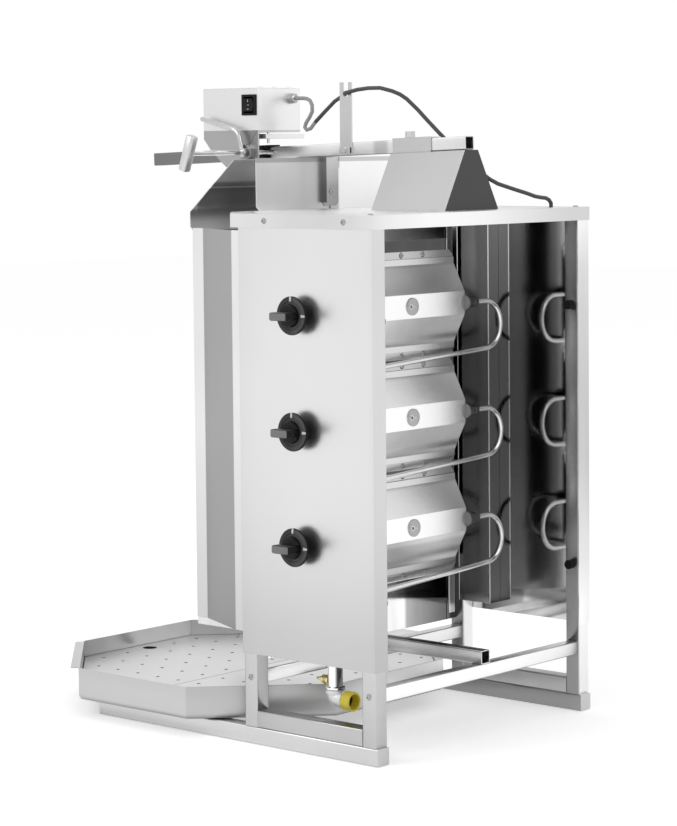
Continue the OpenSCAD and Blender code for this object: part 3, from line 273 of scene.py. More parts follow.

# The face tones and axis gradients below paint light and shade: darker sides, undersides and lower parts,
# shadowed bands and brighter reflection bands; the left posts and rails are lit and shaded copies of the
# right ones.
M = {
    "post_right": steel("post_right_steel", 0.6, 0.3, UP, bevel=0.0006,
                        faces={"+X": 0.76, "-X": 0.6, "+Y": 0.73, "-Y": 0.5, "+Z": 0.8, "-Z": 0.3},
                        painted_light_ramps=[("Z", [(25, 0.72), (60, 0.74), (170, 0.8), (280, 0.86), (500, 0.94), (690, 1),
                                      (767, 1)])]),
    "post_left": steel("post_left_steel", 0.6, 0.26, UP, bevel=0.0006,
                       faces={"+X": 0.34, "-X": 0.6, "+Y": 0.92, "-Y": 0.5, "+Z": 0.8, "-Z": 0.3}),
    "rail": steel("rail_steel", 0.6, 0.3, ALONG_Y,
                  faces={"+X": 0.62, "-X": 0.5, "+Y": 0.54, "-Y": 0.5, "+Z": 0.74, "-Z": 0.3}),
    "rail_left": steel("rail_left_steel", 0.6, 0.3, ALONG_Y,
                       faces={"+X": 0.34, "-X": 0.56, "+Y": 0.6, "-Y": 0.5, "+Z": 0.74, "-Z": 0.3}),
    "side_rail": steel("side_rail_steel", 0.6, 0.3, ALONG_Y,
                       faces={"+X": 0.5, "-X": 0.3, "+Y": 0.5, "-Y": 0.5, "+Z": 0.3, "-Z": 0.3}),
    "cross": steel("cross_steel", 0.6, 0.28, ALONG_X,
                   faces={"+X": 0.5, "-X": 0.45, "+Y": 0.92, "-Y": 0.5, "+Z": 0.7, "-Z": 0.3}),
    "beam_low": steel("lower_beam_steel", 0.6, 0.24, ALONG_Y,
                      faces={"+X": 0.6, "-X": 0.5, "+Y": 0.8, "-Y": 0.5, "+Z": 0.7, "-Z": 0.3},
                      painted_light_ramps=[("Y", [(-240, 0.8), (40, 0.75), (130, 1.0), (200, 0.8), (276, 1.0)])]),
    "beam_top": steel("upper_beam_steel", 0.6, 0.3, ALONG_Y,
                      faces={"+X": 0.84, "-X": 0.5, "+Y": 0.8, "-Y": 0.5, "+Z": 0.9, "-Z": 0.3},
                      painted_light_ramps=[("Y", [(-417, 0.22), (-240, 0.24), (-200, 0.8), (-100, 1.0), (-60, 0.95),
                                    (30, 0.85), (48, 0.85), (55, 0.6), (75, 0.6), (82, 0.85), (140, 0.9),
                                    (228, 0.8)])]),
    "panel": steel("panel_sheet", 0.74, 0.3, UP, amount=0.02, cloud=0.015, rough_var=0.05,
                   faces={"+X": 0.75, "-X": 0.75, "+Y": 0.73, "-Y": 0.7, "+Z": 0.7, "-Z": 0.5},
                   painted_light_ramps=[("Y", [(28, 0.93), (60, 0.97), (150, 1.0), (270, 0.98), (278, 0.95)]),
                          ("Z", [(132, 0.7), (171, 0.72), (214, 0.77), (257, 0.82), (341, 0.9), (427, 0.95),
                                 (512, 0.98), (600, 1), (767, 1)])]),
    "wall": steel("mirror_wall_sheet", 0.7, 0.05, UP, amount=0.01, cloud=0.04, rough_var=0.012, relief=0.012,
                  faces={"+X": 0.8, "-X": 0.62, "+Y": 0.96, "-Y": 0.7, "+Z": 0.7, "-Z": 0.5},
                  painted_light_ramps=[("Z", [(132, 1), (160, 1), (230, 0.8), (310, 0.7), (390, 0.62), (500, 0.66),
                                (680, 0.8), (740, 1.0), (767, 1.0)])],
                  painted_reflection_streak=((14, 14, 1.5), 0.85, 1.0)),
    "cover": steel("cover_sheet", 0.85, 0.36, ALONG_X, amount=0.025, cloud=0.02,
                   faces={"+X": 0.85, "-X": 0.8, "+Y": 0.92, "-Y": 0.7, "+Z": 0.98, "-Z": 0.95},
                   painted_light_ramps=[("X", [(-206, 0.72), (-173, 0.74), (-142, 0.78), (-82, 0.86), (-22, 0.95),
                                 (8, 0.99), (38, 1), (130, 1), (160, 0.955), (190, 0.93), (220, 0.89),
                                 (250, 0.83)]),
                          ("Y", [(28, 1.0), (90, 0.965), (130, 0.92), (190, 0.89), (240, 0.92),
                                 (278, 1.0)])]),
    "wing": steel("wing_sheet", 0.5, 0.34, UP, amount=0.03, cloud=0.03,
                  faces={"+X": 0.76, "-X": 0.6, "+Y": 0.6, "-Y": 0.6, "+Z": 0.6, "-Z": 0.3},
                  painted_light_ramps=[("Y", [(-112, 1), (-89.5, 1), (-87.5, 0.48), (10.5, 0.48), (12.5, 1), (28, 1)]),
                         ("Z", [(163, 0.74), (300, 0.86), (450, 0.97), (743, 1.0)])]),
    "reflector": steel("reflector_sheet", 0.9, 0.1, UP, amount=0.02, cloud=0.04, rough_var=0.03, relief=0.03,
                       faces={"+X": 0.7, "-X": 0.7, "+Y": 1.0, "-Y": 0.8, "+Z": 0.8, "-Z": 0.6},
                       painted_light_ramps=[("X", [(-225, 0.12), (-200, 0.15), (-148, 0.3), (-104, 0.45), (-97, 1.0),
                                     (250, 1.0)])],
                       painted_reflection_streak=((16, 16, 2), 0.8, 1.0)),
    "strip": steel("strip_sheet", 0.9, 0.08, UP, amount=0.02, cloud=0.04, rough_var=0.02, relief=0.03,
                   faces={"+X": 1.0, "-X": 0.7, "+Y": 0.95, "-Y": 0.8, "+Z": 0.8, "-Z": 0.5},
                   painted_light_ramps=[("X", [(-250, 0.2), (-225.4, 0.2), (-225.1, 1), (-215, 1)]),
                          ("Z", [(147, 0.6), (250, 0.55), (560, 0.55), (640, 0.85), (690, 1.0),
                                 (766, 1.0)])]),
    "hood": steel("hood_sheet", 0.9, 0.16, ALONG_X, amount=0.02, cloud=0.05, rough_var=0.03,
                  faces={"+X": 0.7, "-X": 0.7, "+Y": 1.0, "-Y": 0.7, "+Z": 0.9, "-Z": 0.5},
                  painted_light_ramps=[("Z", [(738, 0.75), (752, 0.6), (762, 0.3), (769, 0.28), (773, 0.55), (790, 0.5),
                                (797, 0.42), (800, 0.35), (802, 0.95), (804, 0.4), (808, 0.5), (812, 0.95),
                                (846, 1.0)]),
                         ("X", [(-209, 0.8), (120, 0.8), (170, 1.0), (209, 1.0)])]),
    "hood_back": steel("hood_back_sheet", 0.75, 0.34, ALONG_X, amount=0.03, cloud=0.03,
                       faces={"+X": 0.7, "-X": 0.7, "+Y": 0.94, "-Y": 0.9, "+Z": 0.9, "-Z": 0.5},
                       painted_light_ramps=[("X", [(-195, 1.0), (-52, 1.0), (-48, 0.6), (30, 0.62), (100, 0.97),
                                     (135, 1.0)]),
                              ("Z", [(767, 0.92), (838, 1.0), (838.6, 0.64), (846, 0.64)])]),
    "strap": steel("strap_sheet", 0.5, 0.28, UP, amount=0.03, cloud=0.03,
                   faces={"+X": 0.3, "-X": 0.4, "+Y": 0.7, "-Y": 0.4, "+Z": 0.7, "-Z": 0.3},
                   painted_light_ramps=[("X", [(-48, 0.8), (-20, 0.9), (-17, 1.0), (-12, 1.0)]),
                          ("Z", [(760, 0.55), (800, 0.57), (812, 0.72), (846, 1.0)])]),
    "wedge": steel("wedge_sheet", 0.6, 0.3, ALONG_Y, amount=0.03, cloud=0.03,
                   faces={"+X": 0.5, "-X": 0.5, "+Y": 0.075, "-Y": 0.4, "+Z": 0.2, "-Z": 0.3}),
    "sleeve": steel("sleeve_sheet", 0.6, 0.3, ALONG_Y, amount=0.03, cloud=0.03,
                    faces={"+X": 0.53, "-X": 0.5, "+Y": 0.7, "-Y": 0.5, "+Z": 0.85, "-Z": 0.3}),
    "burner": steel("burner_sheet", 0.62, 0.25, ALONG_X, amount=0.025, cloud=0.03, rough_var=0.05,
                    faces={"+X": 0.45, "-X": 0.6, "+Y": 1.0, "-Y": 0.5, "+Z": 0.05, "-Z": 0.25},
                    painted_light_ramps=[("X", [(-111, 0.88), (-60, 0.96), (10, 1.0), (136, 1.0)]),
                           ("Y", [(120, 0.62), (129.5, 0.62), (133, 1.0), (155, 1.0)]),
                           ("Z", [(200, 0.66), (268, 0.72), (274, 1.0), (700, 1.0)])]),
    "bright": steel("bright_metal", 0.72, 0.12, ROUND, amount=0.03, cloud=0.04, rough_var=0.03),
    "pipe": steel("pipe_metal", 0.85, 0.12, UP, amount=0.03, cloud=0.04, rough_var=0.03,
                  painted_light_ramps=[("X", [(203, 0.45), (208, 0.35), (213, 0.16), (219, 0.14), (221, 0.3), (222.5, 1.0),
                                (225, 1.0)])]),
    "lever": steel("lever_metal", 0.55, 0.2, ROUND, amount=0.03, cloud=0.04, rough_var=0.03),
    "tube": steel("gas_tube_metal", 0.74, 0.2, ROUND, amount=0.03, cloud=0.04, rough_var=0.04),
    "nut": steel("nut_metal", 0.42, 0.2, ROUND, amount=0.05, cloud=0.1, rough_var=0.04),
    "satin": steel("satin_metal", 0.62, 0.4, ROUND, amount=0.03, cloud=0.03),
    "motor": steel("motor_sheet", 0.78, 0.36, ALONG_Y, amount=0.02, cloud=0.02,
                   faces={"+X": 0.7, "-X": 0.7, "+Y": 0.86, "-Y": 0.6, "+Z": 0.9, "-Z": 0.3}),
    "carriage": steel("carriage_plate", 0.62, 0.34, ALONG_Y, amount=0.03, cloud=0.04,
                      faces={"+X": 0.38, "-X": 1.0, "+Y": 0.9, "-Y": 0.5, "+Z": 0.8, "-Z": 0.3},
                      painted_light_ramps=[("Y", [(-240, 1), (-176, 1), (-162, 0.68), (-130, 0.66)])]),
    "shield": steel("shield_plate", 0.62, 0.34, ALONG_Y, amount=0.03, cloud=0.04,
                    faces={"+X": 0.7, "-X": 0.7, "+Y": 0.84, "-Y": 0.6, "+Z": 0.9, "-Z": 0.5}),
    "fork": steel("fork_sheet", 0.6, 0.3, UP, amount=0.03, cloud=0.03,
                  faces={"+X": 0.54, "-X": 0.5, "+Y": 0.68, "-Y": 0.6, "+Z": 0.8, "-Z": 0.3}),
    "tray": steel("tray_sheet", 0.68, 0.34, ALONG_X, amount=0.03, cloud=0.03,
                  faces={"+X": 0.95, "-X": 0.8, "+Y": 0.75, "-Y": 0.9, "+Z": 1.0, "-Z": 0.2},
                  painted_light_ramps=[("X", [(-281, 1), (0, 1), (150, 0.56), (294, 0.56)])]),
    "fitting": steel("fitting_metal", 0.17, 0.24, ROUND, amount=0.05, cloud=0.1, rough_var=0.05),
    "drain": steel("drain_sheet", 0.7, 0.36, ALONG_X, amount=0.03, cloud=0.03, bevel=0.0004,
                   faces={"+X": 0.4, "-X": 0.4, "+Y": 0.3, "-Y": 0.3, "+Z": 0.68, "-Z": 0.2}),
    "screw": steel("screw_metal", 0.4, 0.25, ROUND, amount=0.05, cloud=0.05),
    "black": plain("black_plastic", (0.005, 0.005, 0.0055), 0.36, shine=0.18),
    # A painted highlight: the knob skirt's grey ring is a painted reflection, darker towards low Y.
    "sheen": plain("knob_highlight_black_plastic", (0.075, 0.075, 0.077), 0.45, shine=0.3,
                   painted_light_ramps=[("Y", [(115, 0.2), (138, 0.3), (150, 1), (170, 1)])]),
    "grip": plain("grip_face_plastic", (0.18, 0.18, 0.18), 0.5),
    "mark": plain("mark_paint", (0.7, 0.7, 0.7), 0.5),
    "dark": plain("dark_metal", (0.08, 0.08, 0.085), 0.45, 0.7),
    "brass": plain("brass_metal", (0.78, 0.66, 0.3), 0.25, 1.0),
    "yellow": plain("yellow_plastic", (0.75, 0.62, 0.05), 0.4),
    "hole": plain("thread_shadow", (0.02, 0.02, 0.02), 0.7),
    "cast": plain("cast_metal", (0.7, 0.7, 0.71), 0.5, 0.8),
    "cable": plain("cable_sheath", (0.055, 0.055, 0.056), 0.5),
    "sleeve_grey": plain("cable_sleeve", (0.34, 0.34, 0.345), 0.5),
    "ceramic": plain("ceramic_plaque", (0.72, 0.66, 0.56), 0.8),
}

DRESS = {
    "control_panel": "panel", "side_panel_left": "wall", "top_cover": "cover", "wing_left": "wing",
    "wing_right": "wing", "inner_wall_left": "strip", "inner_wall_right": "reflector",
    "reflector_left": "reflector", "reflector_right": "reflector", "hood_front": "hood",
    "hood_back": "hood_back", "hood_strap": "strap", "beam_support": "wedge", "beam_sleeve": "sleeve",
    "burner_1": "burner", "burner_2": "burner", "burner_3": "burner", "burner_plaques": "ceramic",
    "injectors": "fitting", "gas_tubes": "tube", "sleeve_bolt": "satin", "cable_fork": "fork",
    "drive_shaft": "bright", "gas_valves": "brass", "switch_bezel": "black", "rocker_switch": "black",
    "beam_bush": "black", "bumpers": "black", "motor_case": "motor", "motor_lid": "motor",
    "carriage": "carriage", "heat_shield": "shield", "gear_motor": "dark", "spit_bearing": "dark",
    "drain_plate_front": "drain", "drain_plate_rear": "drain", "fasteners": "screw",
    "power_cable": "cable",
}
for node, mat in DRESS.items():
    nodes[node].data.materials.clear()
    nodes[node].data.materials.append(M[mat])

# Mesh helpers, in millimetres

SHARP_DEG = 35


def loft(rings, loop=False):
    """Skin over rings of equally many points; open ends get a cap."""
    n = len(rings[0])
    verts = [p for r in rings for p in r]
    faces = []
    last = len(rings) if loop else len(rings) - 1
    for i in range(last):
        a, b = i * n, (i + 1) % len(rings) * n
        for k in range(n):
            m = (k + 1) % n
            faces.append((a + k, a + m, b + m, b + k))
    if not loop:
        faces.append(tuple(range(n - 1, -1, -1)))
        faces.append(tuple(range(len(verts) - n, len(verts))))
    return verts, faces


def piece(name, parts, mat, body, replaces=(), matrix=None):
    """One object from several lofts, attached to one body; given (body, body, start, end) instead, it is
    only baked in place.
    """
    verts, faces = [], []
    for v, f in parts:
        k = len(verts)
        verts += [Vector(p) for p in v]
        faces += [tuple(i + k for i in q) for q in f]
    if matrix:
        verts = [matrix @ v for v in verts]
    mesh = bpy.data.meshes.new(name)
    mesh.from_pydata([v * MM for v in verts], [], faces)
    mesh.materials.append(M[mat])
    mesh.validate()
    mesh.shade_smooth()
    mesh.set_sharp_from_angle(angle=math.radians(SHARP_DEG))
    obj = bpy.data.objects.new(name, mesh)
    scene.collection.objects.link(obj)
    if isinstance(body, str):
        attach(obj, body)
    else:
        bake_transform(obj)
    if replaces:
        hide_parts(*replaces)
    return obj


def frame_at(at, axis):
    """Where to draw along an axis: its origin, two cross directions and the axis."""
    w = Vector(axis).normalized()
    ref = Vector((0, 0, 1)) if abs(w.z) < 0.9 else Vector((0, 1, 0))
    u = ref.cross(w).normalized()
    return Vector(at), u, w.cross(u), w


def lathe(profile, at, axis, n=40, loop=False):
    """A turned solid: profile rows are (radius, distance along the axis); a loop is a ring with a hole."""
    o, u, v, w = frame_at(at, axis)
    rings = []
    for r, h in profile:
        rings.append([o + w * h + r * (math.cos(a) * u + math.sin(a) * v)
                      for a in (2 * math.pi * k / n for k in range(n))])
    return loft(rings, loop)


def round_rect(w, h, r, k=4):
    """Corner points of a rounded rectangle, counter-clockwise."""
    pts = []
    for q, (sx, sy) in enumerate(((1, 1), (-1, 1), (-1, -1), (1, -1))):
        for i in range(k + 1):
            a = math.pi / 2 * (q + i / k)
            pts.append((sx * (w / 2 - r) + r * math.cos(a), sy * (h / 2 - r) + r * math.sin(a)))
    return pts


def bar(lo, hi, axis, r, wall=0.0, ease=0.6):
    """A rounded bar between two corners; with a wall it is a tube, open at both ends."""
    lo, hi = Vector(lo), Vector(hi)
    a = "XYZ".index(axis)
    b, c = [i for i in range(3) if i != a]
    if a == 1:
        b, c = c, b
    mid = (lo + hi) / 2

    def ring(inset, at):
        out = []
        for p, q in round_rect(hi[b] - lo[b] - 2 * inset, hi[c] - lo[c] - 2 * inset, max(r - inset, 0.2)):
            v = Vector((0, 0, 0))
            v[a] = at
            v[b] = mid[b] + p
            v[c] = mid[c] + q
            out.append(v)
        return out

    z0, z1 = lo[a], hi[a]
    if not wall:
        return loft([ring(ease * 1.5, z0), ring(ease * 0.45, z0 + ease * 0.3), ring(0, z0 + ease),
                     ring(0, z1 - ease), ring(ease * 0.45, z1 - ease * 0.3), ring(ease * 1.5, z1)])
    e = wall / 3
    return loft([ring(e, z0), ring(0, z0 + e), ring(0, z1 - e), ring(e, z1), ring(wall - e, z1),
                 ring(wall, z1 - e), ring(wall, z0 + e), ring(wall - e, z0)], True)


def sweep(path, d, n=16, end=0.25):
    """A round rod along points, with eased ends."""
    pts = [Vector(p) for p in path]
    dirs = [(b - a).normalized() for a, b in zip(pts, pts[1:])]
    u = dirs[0].orthogonal().normalized()
    rings = []

    def ring(at, t, r):
        nonlocal u
        u = (u - t * u.dot(t)).normalized()
        w = t.cross(u)
        turns = (2 * math.pi * k / n for k in range(n))
        return [at + r * (math.cos(a) * u + math.sin(a) * w) for a in turns]

    r = d / 2
    rings.append(ring(pts[0], dirs[0], r * 0.7))
    rings.append(ring(pts[0] + dirs[0] * d * end, dirs[0], r))
    for i in range(1, len(pts) - 1):
        rings.append(ring(pts[i], (dirs[i - 1] + dirs[i]).normalized(), r))
    rings.append(ring(pts[-1] - dirs[-1] * d * end, dirs[-1], r))
    rings.append(ring(pts[-1], dirs[-1], r * 0.7))
    return loft(rings)


def rounded_path(corners, r, k=6):
    """A line through corners with each inner corner rounded."""
    c = [Vector(p) for p in corners]
    out = [c[0]]
    for i in range(1, len(c) - 1):
        a = (c[i - 1] - c[i]).normalized()
        b = (c[i + 1] - c[i]).normalized()
        for j in range(k + 1):
            t = j / k
            out.append(c[i] + a * r * (1 - t) ** 2 + b * r * t ** 2)
    return out + [c[-1]]


def mirrored(lo, hi):
    """The corners of a box on the other side of the middle plane."""
    return (-hi[0], lo[1], lo[2]), (-lo[0], hi[1], hi[2])


# Square tubes

TUBE, TUBE_R = 25, 2.4
BEAM, BEAM_R, WALL = 20, 2.0, 1.5
INNER_X, OUTER_X = 225, 250
FRONT_Y, REAR_Y = 28, 278
BASE_FRONT, BASE_REAR = -278, 281
POST_TOP = 765.8
CROSS_Z = 87
TUBES = {
    "base_rail": ((INNER_X, BASE_FRONT, 0), (OUTER_X, BASE_REAR, TUBE), "Y", "rail", "rail_left"),
    "side_rail": ((INNER_X, FRONT_Y + TUBE, TUBE), (OUTER_X, REAR_Y - TUBE, 2 * TUBE), "Y",
                  "side_rail", "side_rail"),
    "front_post": ((INNER_X, FRONT_Y, TUBE), (OUTER_X, FRONT_Y + TUBE, POST_TOP), "Z",
                   "post_right", "post_left"),
    "rear_post": ((INNER_X, REAR_Y - TUBE, TUBE), (OUTER_X, REAR_Y, POST_TOP), "Z",
                  "post_right", "post_left"),
}
for name, (lo, hi, axis, mat_r, mat_l) in TUBES.items():
    piece(name + "_right_tube", [bar(lo, hi, axis, TUBE_R)], mat_r, "frame", [name + "_right"])
    lo_l, hi_l = mirrored(lo, hi)
    piece(name + "_left_tube", [bar(lo_l, hi_l, axis, TUBE_R)], mat_l, "frame", [name + "_left"])
CROSS_Y = {"front_cross_rail": 30.5, "rear_cross_rail": 255.5}
for name, y in CROSS_Y.items():
    lo, hi = (-INNER_X, y, CROSS_Z), (INNER_X, y + BEAM, CROSS_Z + BEAM)
    piece(name + "_tube", [bar(lo, hi, "X", BEAM_R)], "cross", "frame", [name])
LOW_FRONT, LOW_REAR, LOW_Z = -239.5, 275.5, CROSS_Z + BEAM
lo, hi = (-BEAM / 2, LOW_FRONT, LOW_Z), (BEAM / 2, LOW_REAR, LOW_Z + BEAM)
piece("lower_beam_tube", [bar(lo, hi, "Y", BEAM_R, WALL)], "beam_low", "frame", ["lower_beam"])
TOP_L = 645
TOP_END = (-30, 228, 855)
LEAN_DEG = 2
LEAN = Matrix.Translation(TOP_END) @ Matrix.Rotation(math.radians(LEAN_DEG), 4, "X")
lo, hi = (-BEAM / 2, -TOP_L, 0), (BEAM / 2, 0, BEAM)
piece("upper_beam_tube", [bar(lo, hi, "Y", BEAM_R, WALL)], "beam_top", "upper_beam", ["upper_beam"],
      LEAN)

# Drip tray

TRAY_AT = (0, -176.5, 25.3)
TRAY_W, TRAY_D, TRAY_CUT = 562, 545, 159
TRAY_H, TRAY_T, TRAY_R = 49, 1.5, 6
TRAY_FOOT_R = 9
LIP_W, LIP_R, LIP_EASE = 13, 1.5, 0.4
RIM = ((0, 0.8), (0.3, 0.2), (1, 0), (1.7, 0.2), (2, 0.8), (TRAY_T, 2))
BEND_STEP = 15


def tray_ring(inset, z, k=5):
    """The tray's plan with rounded corners, inset by a distance, at a height."""
    grow = TRAY_R + max(inset - TRAY_R + 0.5, 0)
    x, y = TRAY_W / 2 - grow, TRAY_D / 2 - grow
    c = TRAY_CUT - (2 - math.sqrt(2)) * grow
    at = [(x, y - c), (x - c, y), (c - x, y), (-x, y - c),
          (-x, c - y), (c - x, -y), (x - c, -y), (x, c - y)]
    r = grow - inset
    out = []
    for i, (cx, cy) in enumerate(at):
        for j in range(k + 1):
            a = math.radians(45 * i + 45 * j / k)
            out.append(Vector((cx + r * math.cos(a), cy + r * math.sin(a), z)))
    return out


rings = []
for deg in range(0, 91, BEND_STEP):
    a = math.radians(deg)
    rings.append(tray_ring(TRAY_FOOT_R * (1 - math.sin(a)), TRAY_FOOT_R * (1 - math.cos(a))))
rings += [tray_ring(inset, TRAY_H - drop) for inset, drop in RIM]
inner_r = TRAY_FOOT_R - TRAY_T
for deg in range(90, -1, -BEND_STEP):
    a = math.radians(deg)
    rings.append(tray_ring(TRAY_T + inner_r * (1 - math.sin(a)), TRAY_T + inner_r * (1 - math.cos(a))))
far = (TRAY_W / 2 + TRAY_D / 2 - TRAY_CUT) / math.sqrt(2)
mid = (TRAY_W / 2 - TRAY_D / 2) / math.sqrt(2)
lip_l = TRAY_CUT * math.sqrt(2) - 2 * TRAY_R
lip_v, lip_f = bar((far - TRAY_T / 2, mid - lip_l / 2, TRAY_H - TRAY_T),
                   (far + LIP_W - TRAY_T / 2, mid + lip_l / 2, TRAY_H), "Z", LIP_R, ease=LIP_EASE)
turn = Matrix.Rotation(math.radians(-45), 4, "Z")
lip_v = [turn @ v for v in lip_v]
piece("tray_shell", [loft(rings), (lip_v, lip_f)], "tray", "tray", ["tray"],
      Matrix.Translation(TRAY_AT))

# Knobs

KNOB_Y = 142.5
PANEL_X = 251.5
KNOB_X = 264.5
KNOB_ZS = (625, 461, 297)
KNOB_PROFILE = [(12, -13), (13, -12.4), (13, -0.6), (26.4, -0.2), (27.5, 0.8), (27.5, 2.6), (26.9, 3.5),
                (20.2, 4.4), (18.8, 3.6), (17.4, 3.6), (16.2, 4.4), (15.8, 9.4), (14.6, 11.4), (12.0, 12)]
SKIRT_PROFILE = [(26.2, 3.0), (26.5, 3.75), (20.6, 4.65), (20.2, 4.2)]
SPINDLE_PROFILE = [(3.6, -14), (4, -13.5), (4, 1)]
GRIP_L, GRIP_T, GRIP_TOP = 32, 11.5, 32
GRIP_FOOT, GRIP_R, GRIP_EASE = 4, 2.2, 1.2
FACE_UP, FACE_T, FACE_IN, FACE_R, FACE_EASE = 0.6, 1.4, 0.8, 1.6, 0.4
MARK_AT, MARK_UP, MARK_R, MARK_EASE = 23.4, 4.1, 0.85, 0.3
# Each mark is a wide bar and a narrow one: its place along Y and Z from the knob's axis, and its size
MARKS = (((0, MARK_AT), (1.8, 3.4, 6.4)), ((0, MARK_AT + 2.6), (1.6, 1.8, 3.6)),
         ((MARK_AT, 0), (1.8, 6.4, 3.2)), ((MARK_AT - 2.2, 0), (1.6, 2.6, 4.4)))
for i, z in enumerate(KNOB_ZS):
    at = Vector((KNOB_X, KNOB_Y, z))
    body = f"knob_{i + 1}"
    half = Vector((0, GRIP_L / 2, GRIP_T / 2))
    foot, top = at + Vector((GRIP_FOOT, 0, 0)), at + Vector((GRIP_TOP - FACE_UP, 0, 0))
    grip = bar(foot - half, top + half, "X", GRIP_R, ease=GRIP_EASE)
    spindle = lathe(SPINDLE_PROFILE, (PANEL_X, KNOB_Y, z), (1, 0, 0), 24)
    piece(body + "_body", [lathe(KNOB_PROFILE, at, (1, 0, 0), 56), grip, spindle], "black", body,
          [body])
    # The skirt ring carries the painted highlight of the knob.
    piece(body + "_skirt", [lathe(SKIRT_PROFILE, at, (1, 0, 0), 56)], "sheen", body)
    half -= Vector((0, FACE_IN, FACE_IN))
    foot, top = at + Vector((GRIP_TOP - FACE_T, 0, 0)), at + Vector((GRIP_TOP, 0, 0))
    face = bar(foot - half, top + half, "X", FACE_R, ease=FACE_EASE)
    piece(body + "_face", [face], "grip", body)
    ticks = []
    for (dy, dz), size in MARKS:
        c = at + Vector((MARK_UP, dy, dz))
        size = Vector(size)
        ticks.append(bar(c - size / 2, c + size / 2, "X", MARK_R, ease=MARK_EASE))
    piece(body + "_marks", ticks, "mark", body)

# Gas inlet

PIPE_X, PIPE_Y = 214, 172
PIPE_R = 10.65
PIPE_Z, PIPE_TOP = 91, 665
BEAD_R = 14
VALVE_Y = 158
ELBOW_R, ELBOW_Z, ELBOW_L, ELBOW_BEND = 12.6, 77, 20, 12
NIPPLE_Z = 103
NIPPLE_PROFILE = [(7, 0), (7, 4), (5.4, 4.4), (5.4, 8), (6.6, 8.6), (6.6, 12.5), (3.6, 13.5), (3.2, 18),
                  (1.8, 24), (1.2, 25.5)]
NIPPLE_HEX = [(7.4, 3.6), (8, 4.2), (8, 8.4), (7.4, 9)]
RIM_TOP = [(ELBOW_R, -6), (14, -5.6), (14, -0.6), (13.2, 0)]
RIM_REAR = [(ELBOW_R - 0.4, 14), (13.8, 14.6), (13.8, 19), (13, 19.6)]
CAP_PROFILE = [(9.6, 0.4), (13.2, 0), (14, 0.8), (14, 15), (13.3, 15.8), (11.7, 16), (10.9, 15.4),
               (10.7, 2.4)]
RECESS_SHADOW_PROFILE = [(10.8, 0.6), (10.8, 2.2), (9.8, 2.6)]
pipe = lathe([(PIPE_R - 1, PIPE_Z), (PIPE_R, PIPE_Z + 1), (PIPE_R, PIPE_TOP - 2), (PIPE_R - 2, PIPE_TOP)],
             (PIPE_X, PIPE_Y, 0), (0, 0, 1))
bead = lathe([(PIPE_R, PIPE_Z), (BEAD_R, PIPE_Z + 0.6), (BEAD_R, PIPE_Z + 3.4), (PIPE_R, PIPE_Z + 4.6)],
             (PIPE_X, PIPE_Y, 0), (0, 0, 1))
branches = [lathe([(PIPE_R / 2, 0), (PIPE_R / 2, PIPE_Y - VALVE_Y)], (PIPE_X, VALVE_Y, z), (0, 1, 0), 24)
            for z in KNOB_ZS]
piece("gas_pipe", [pipe, bead] + branches, "pipe", "frame", ["manifold"])
nipple_at = (PIPE_X, PIPE_Y - PIPE_R + 1, NIPPLE_Z)
piece("test_nipple", [
    lathe(NIPPLE_PROFILE, nipple_at, (0, -1, 0), 24),
    lathe(NIPPLE_HEX, nipple_at, (0, -1, 0), 6),
], "brass", "frame")
elbow_end = (PIPE_X, PIPE_Y + ELBOW_L - 1, ELBOW_Z)
bend = rounded_path([(PIPE_X, PIPE_Y, PIPE_Z), (PIPE_X, PIPE_Y, ELBOW_Z), elbow_end], ELBOW_BEND, 8)
piece("gas_elbow", [
    sweep(bend, 2 * ELBOW_R, 32, 0.04),
    lathe(RIM_TOP, (PIPE_X, PIPE_Y, PIPE_Z), (0, 0, 1)),
    lathe(RIM_REAR, (PIPE_X, PIPE_Y, ELBOW_Z), (0, 1, 0)),
], "cast", "frame", ["inlet_elbow"])
cap_at = (PIPE_X, PIPE_Y + ELBOW_L, ELBOW_Z)
piece("inlet_ring", [lathe(CAP_PROFILE, cap_at, (0, 1, 0), 48, True)], "yellow", "frame",
      ["inlet_cap"])
# A near-black ring paints the shadow inside the cap's recess.
piece("inlet_recess_shadow", [lathe(RECESS_SHADOW_PROFILE, cap_at, (0, 1, 0))], "hole", "frame")

# Cable

CABLE_D, CABLE_SIDES = 6, 16
CABLE_PTS = [
    (-42, -125, 936), (-42, -119, 936), (-42, -110, 936), (-42, -102, 935),
    (-41, -95, 932), (-40, -90, 925), (-39, -89, 915), (-38, -94, 906),
    (-37, -100, 898), (-36, -102, 891), (-35, -97, 887), (-35, -89, 889),
    (-34, -78, 899), (-34, -59, 914), (-34, -38, 930), (-32, -18, 939),
    (-26, -7, 941), (-18, -2, 941), (-11, 4, 942), (-8, 14, 943),
    (-7, 31, 946), (-9, 51, 948), (-13, 71, 948), (-18, 90, 943),
    (-23, 101, 938), (-28, 110, 931), (-34, 126, 915), (-41, 141, 897),
    (-47, 154, 882), (-52, 166, 869), (-60, 182, 852), (-69, 198, 836),
    (-78, 212, 820), (-85, 221, 811), (-96, 228, 804), (-112, 233, 799),
    (-130, 237, 794), (-150, 240, 789), (-168, 242, 784), (-182, 243, 782),
    (-193, 243, 781), (-201, 243, 778), (-205, 243, 774), (-206, 243, 773),
    (-206, 243, 767),
]
LIGHT_RINGS = 13
FORK_PT = (-18, -2, 941)
FRONT_BEND = ((0, -10, 0), (0, -84, 0))
BACK_BEND = ((0, 225, 0), (0, 35, 0))


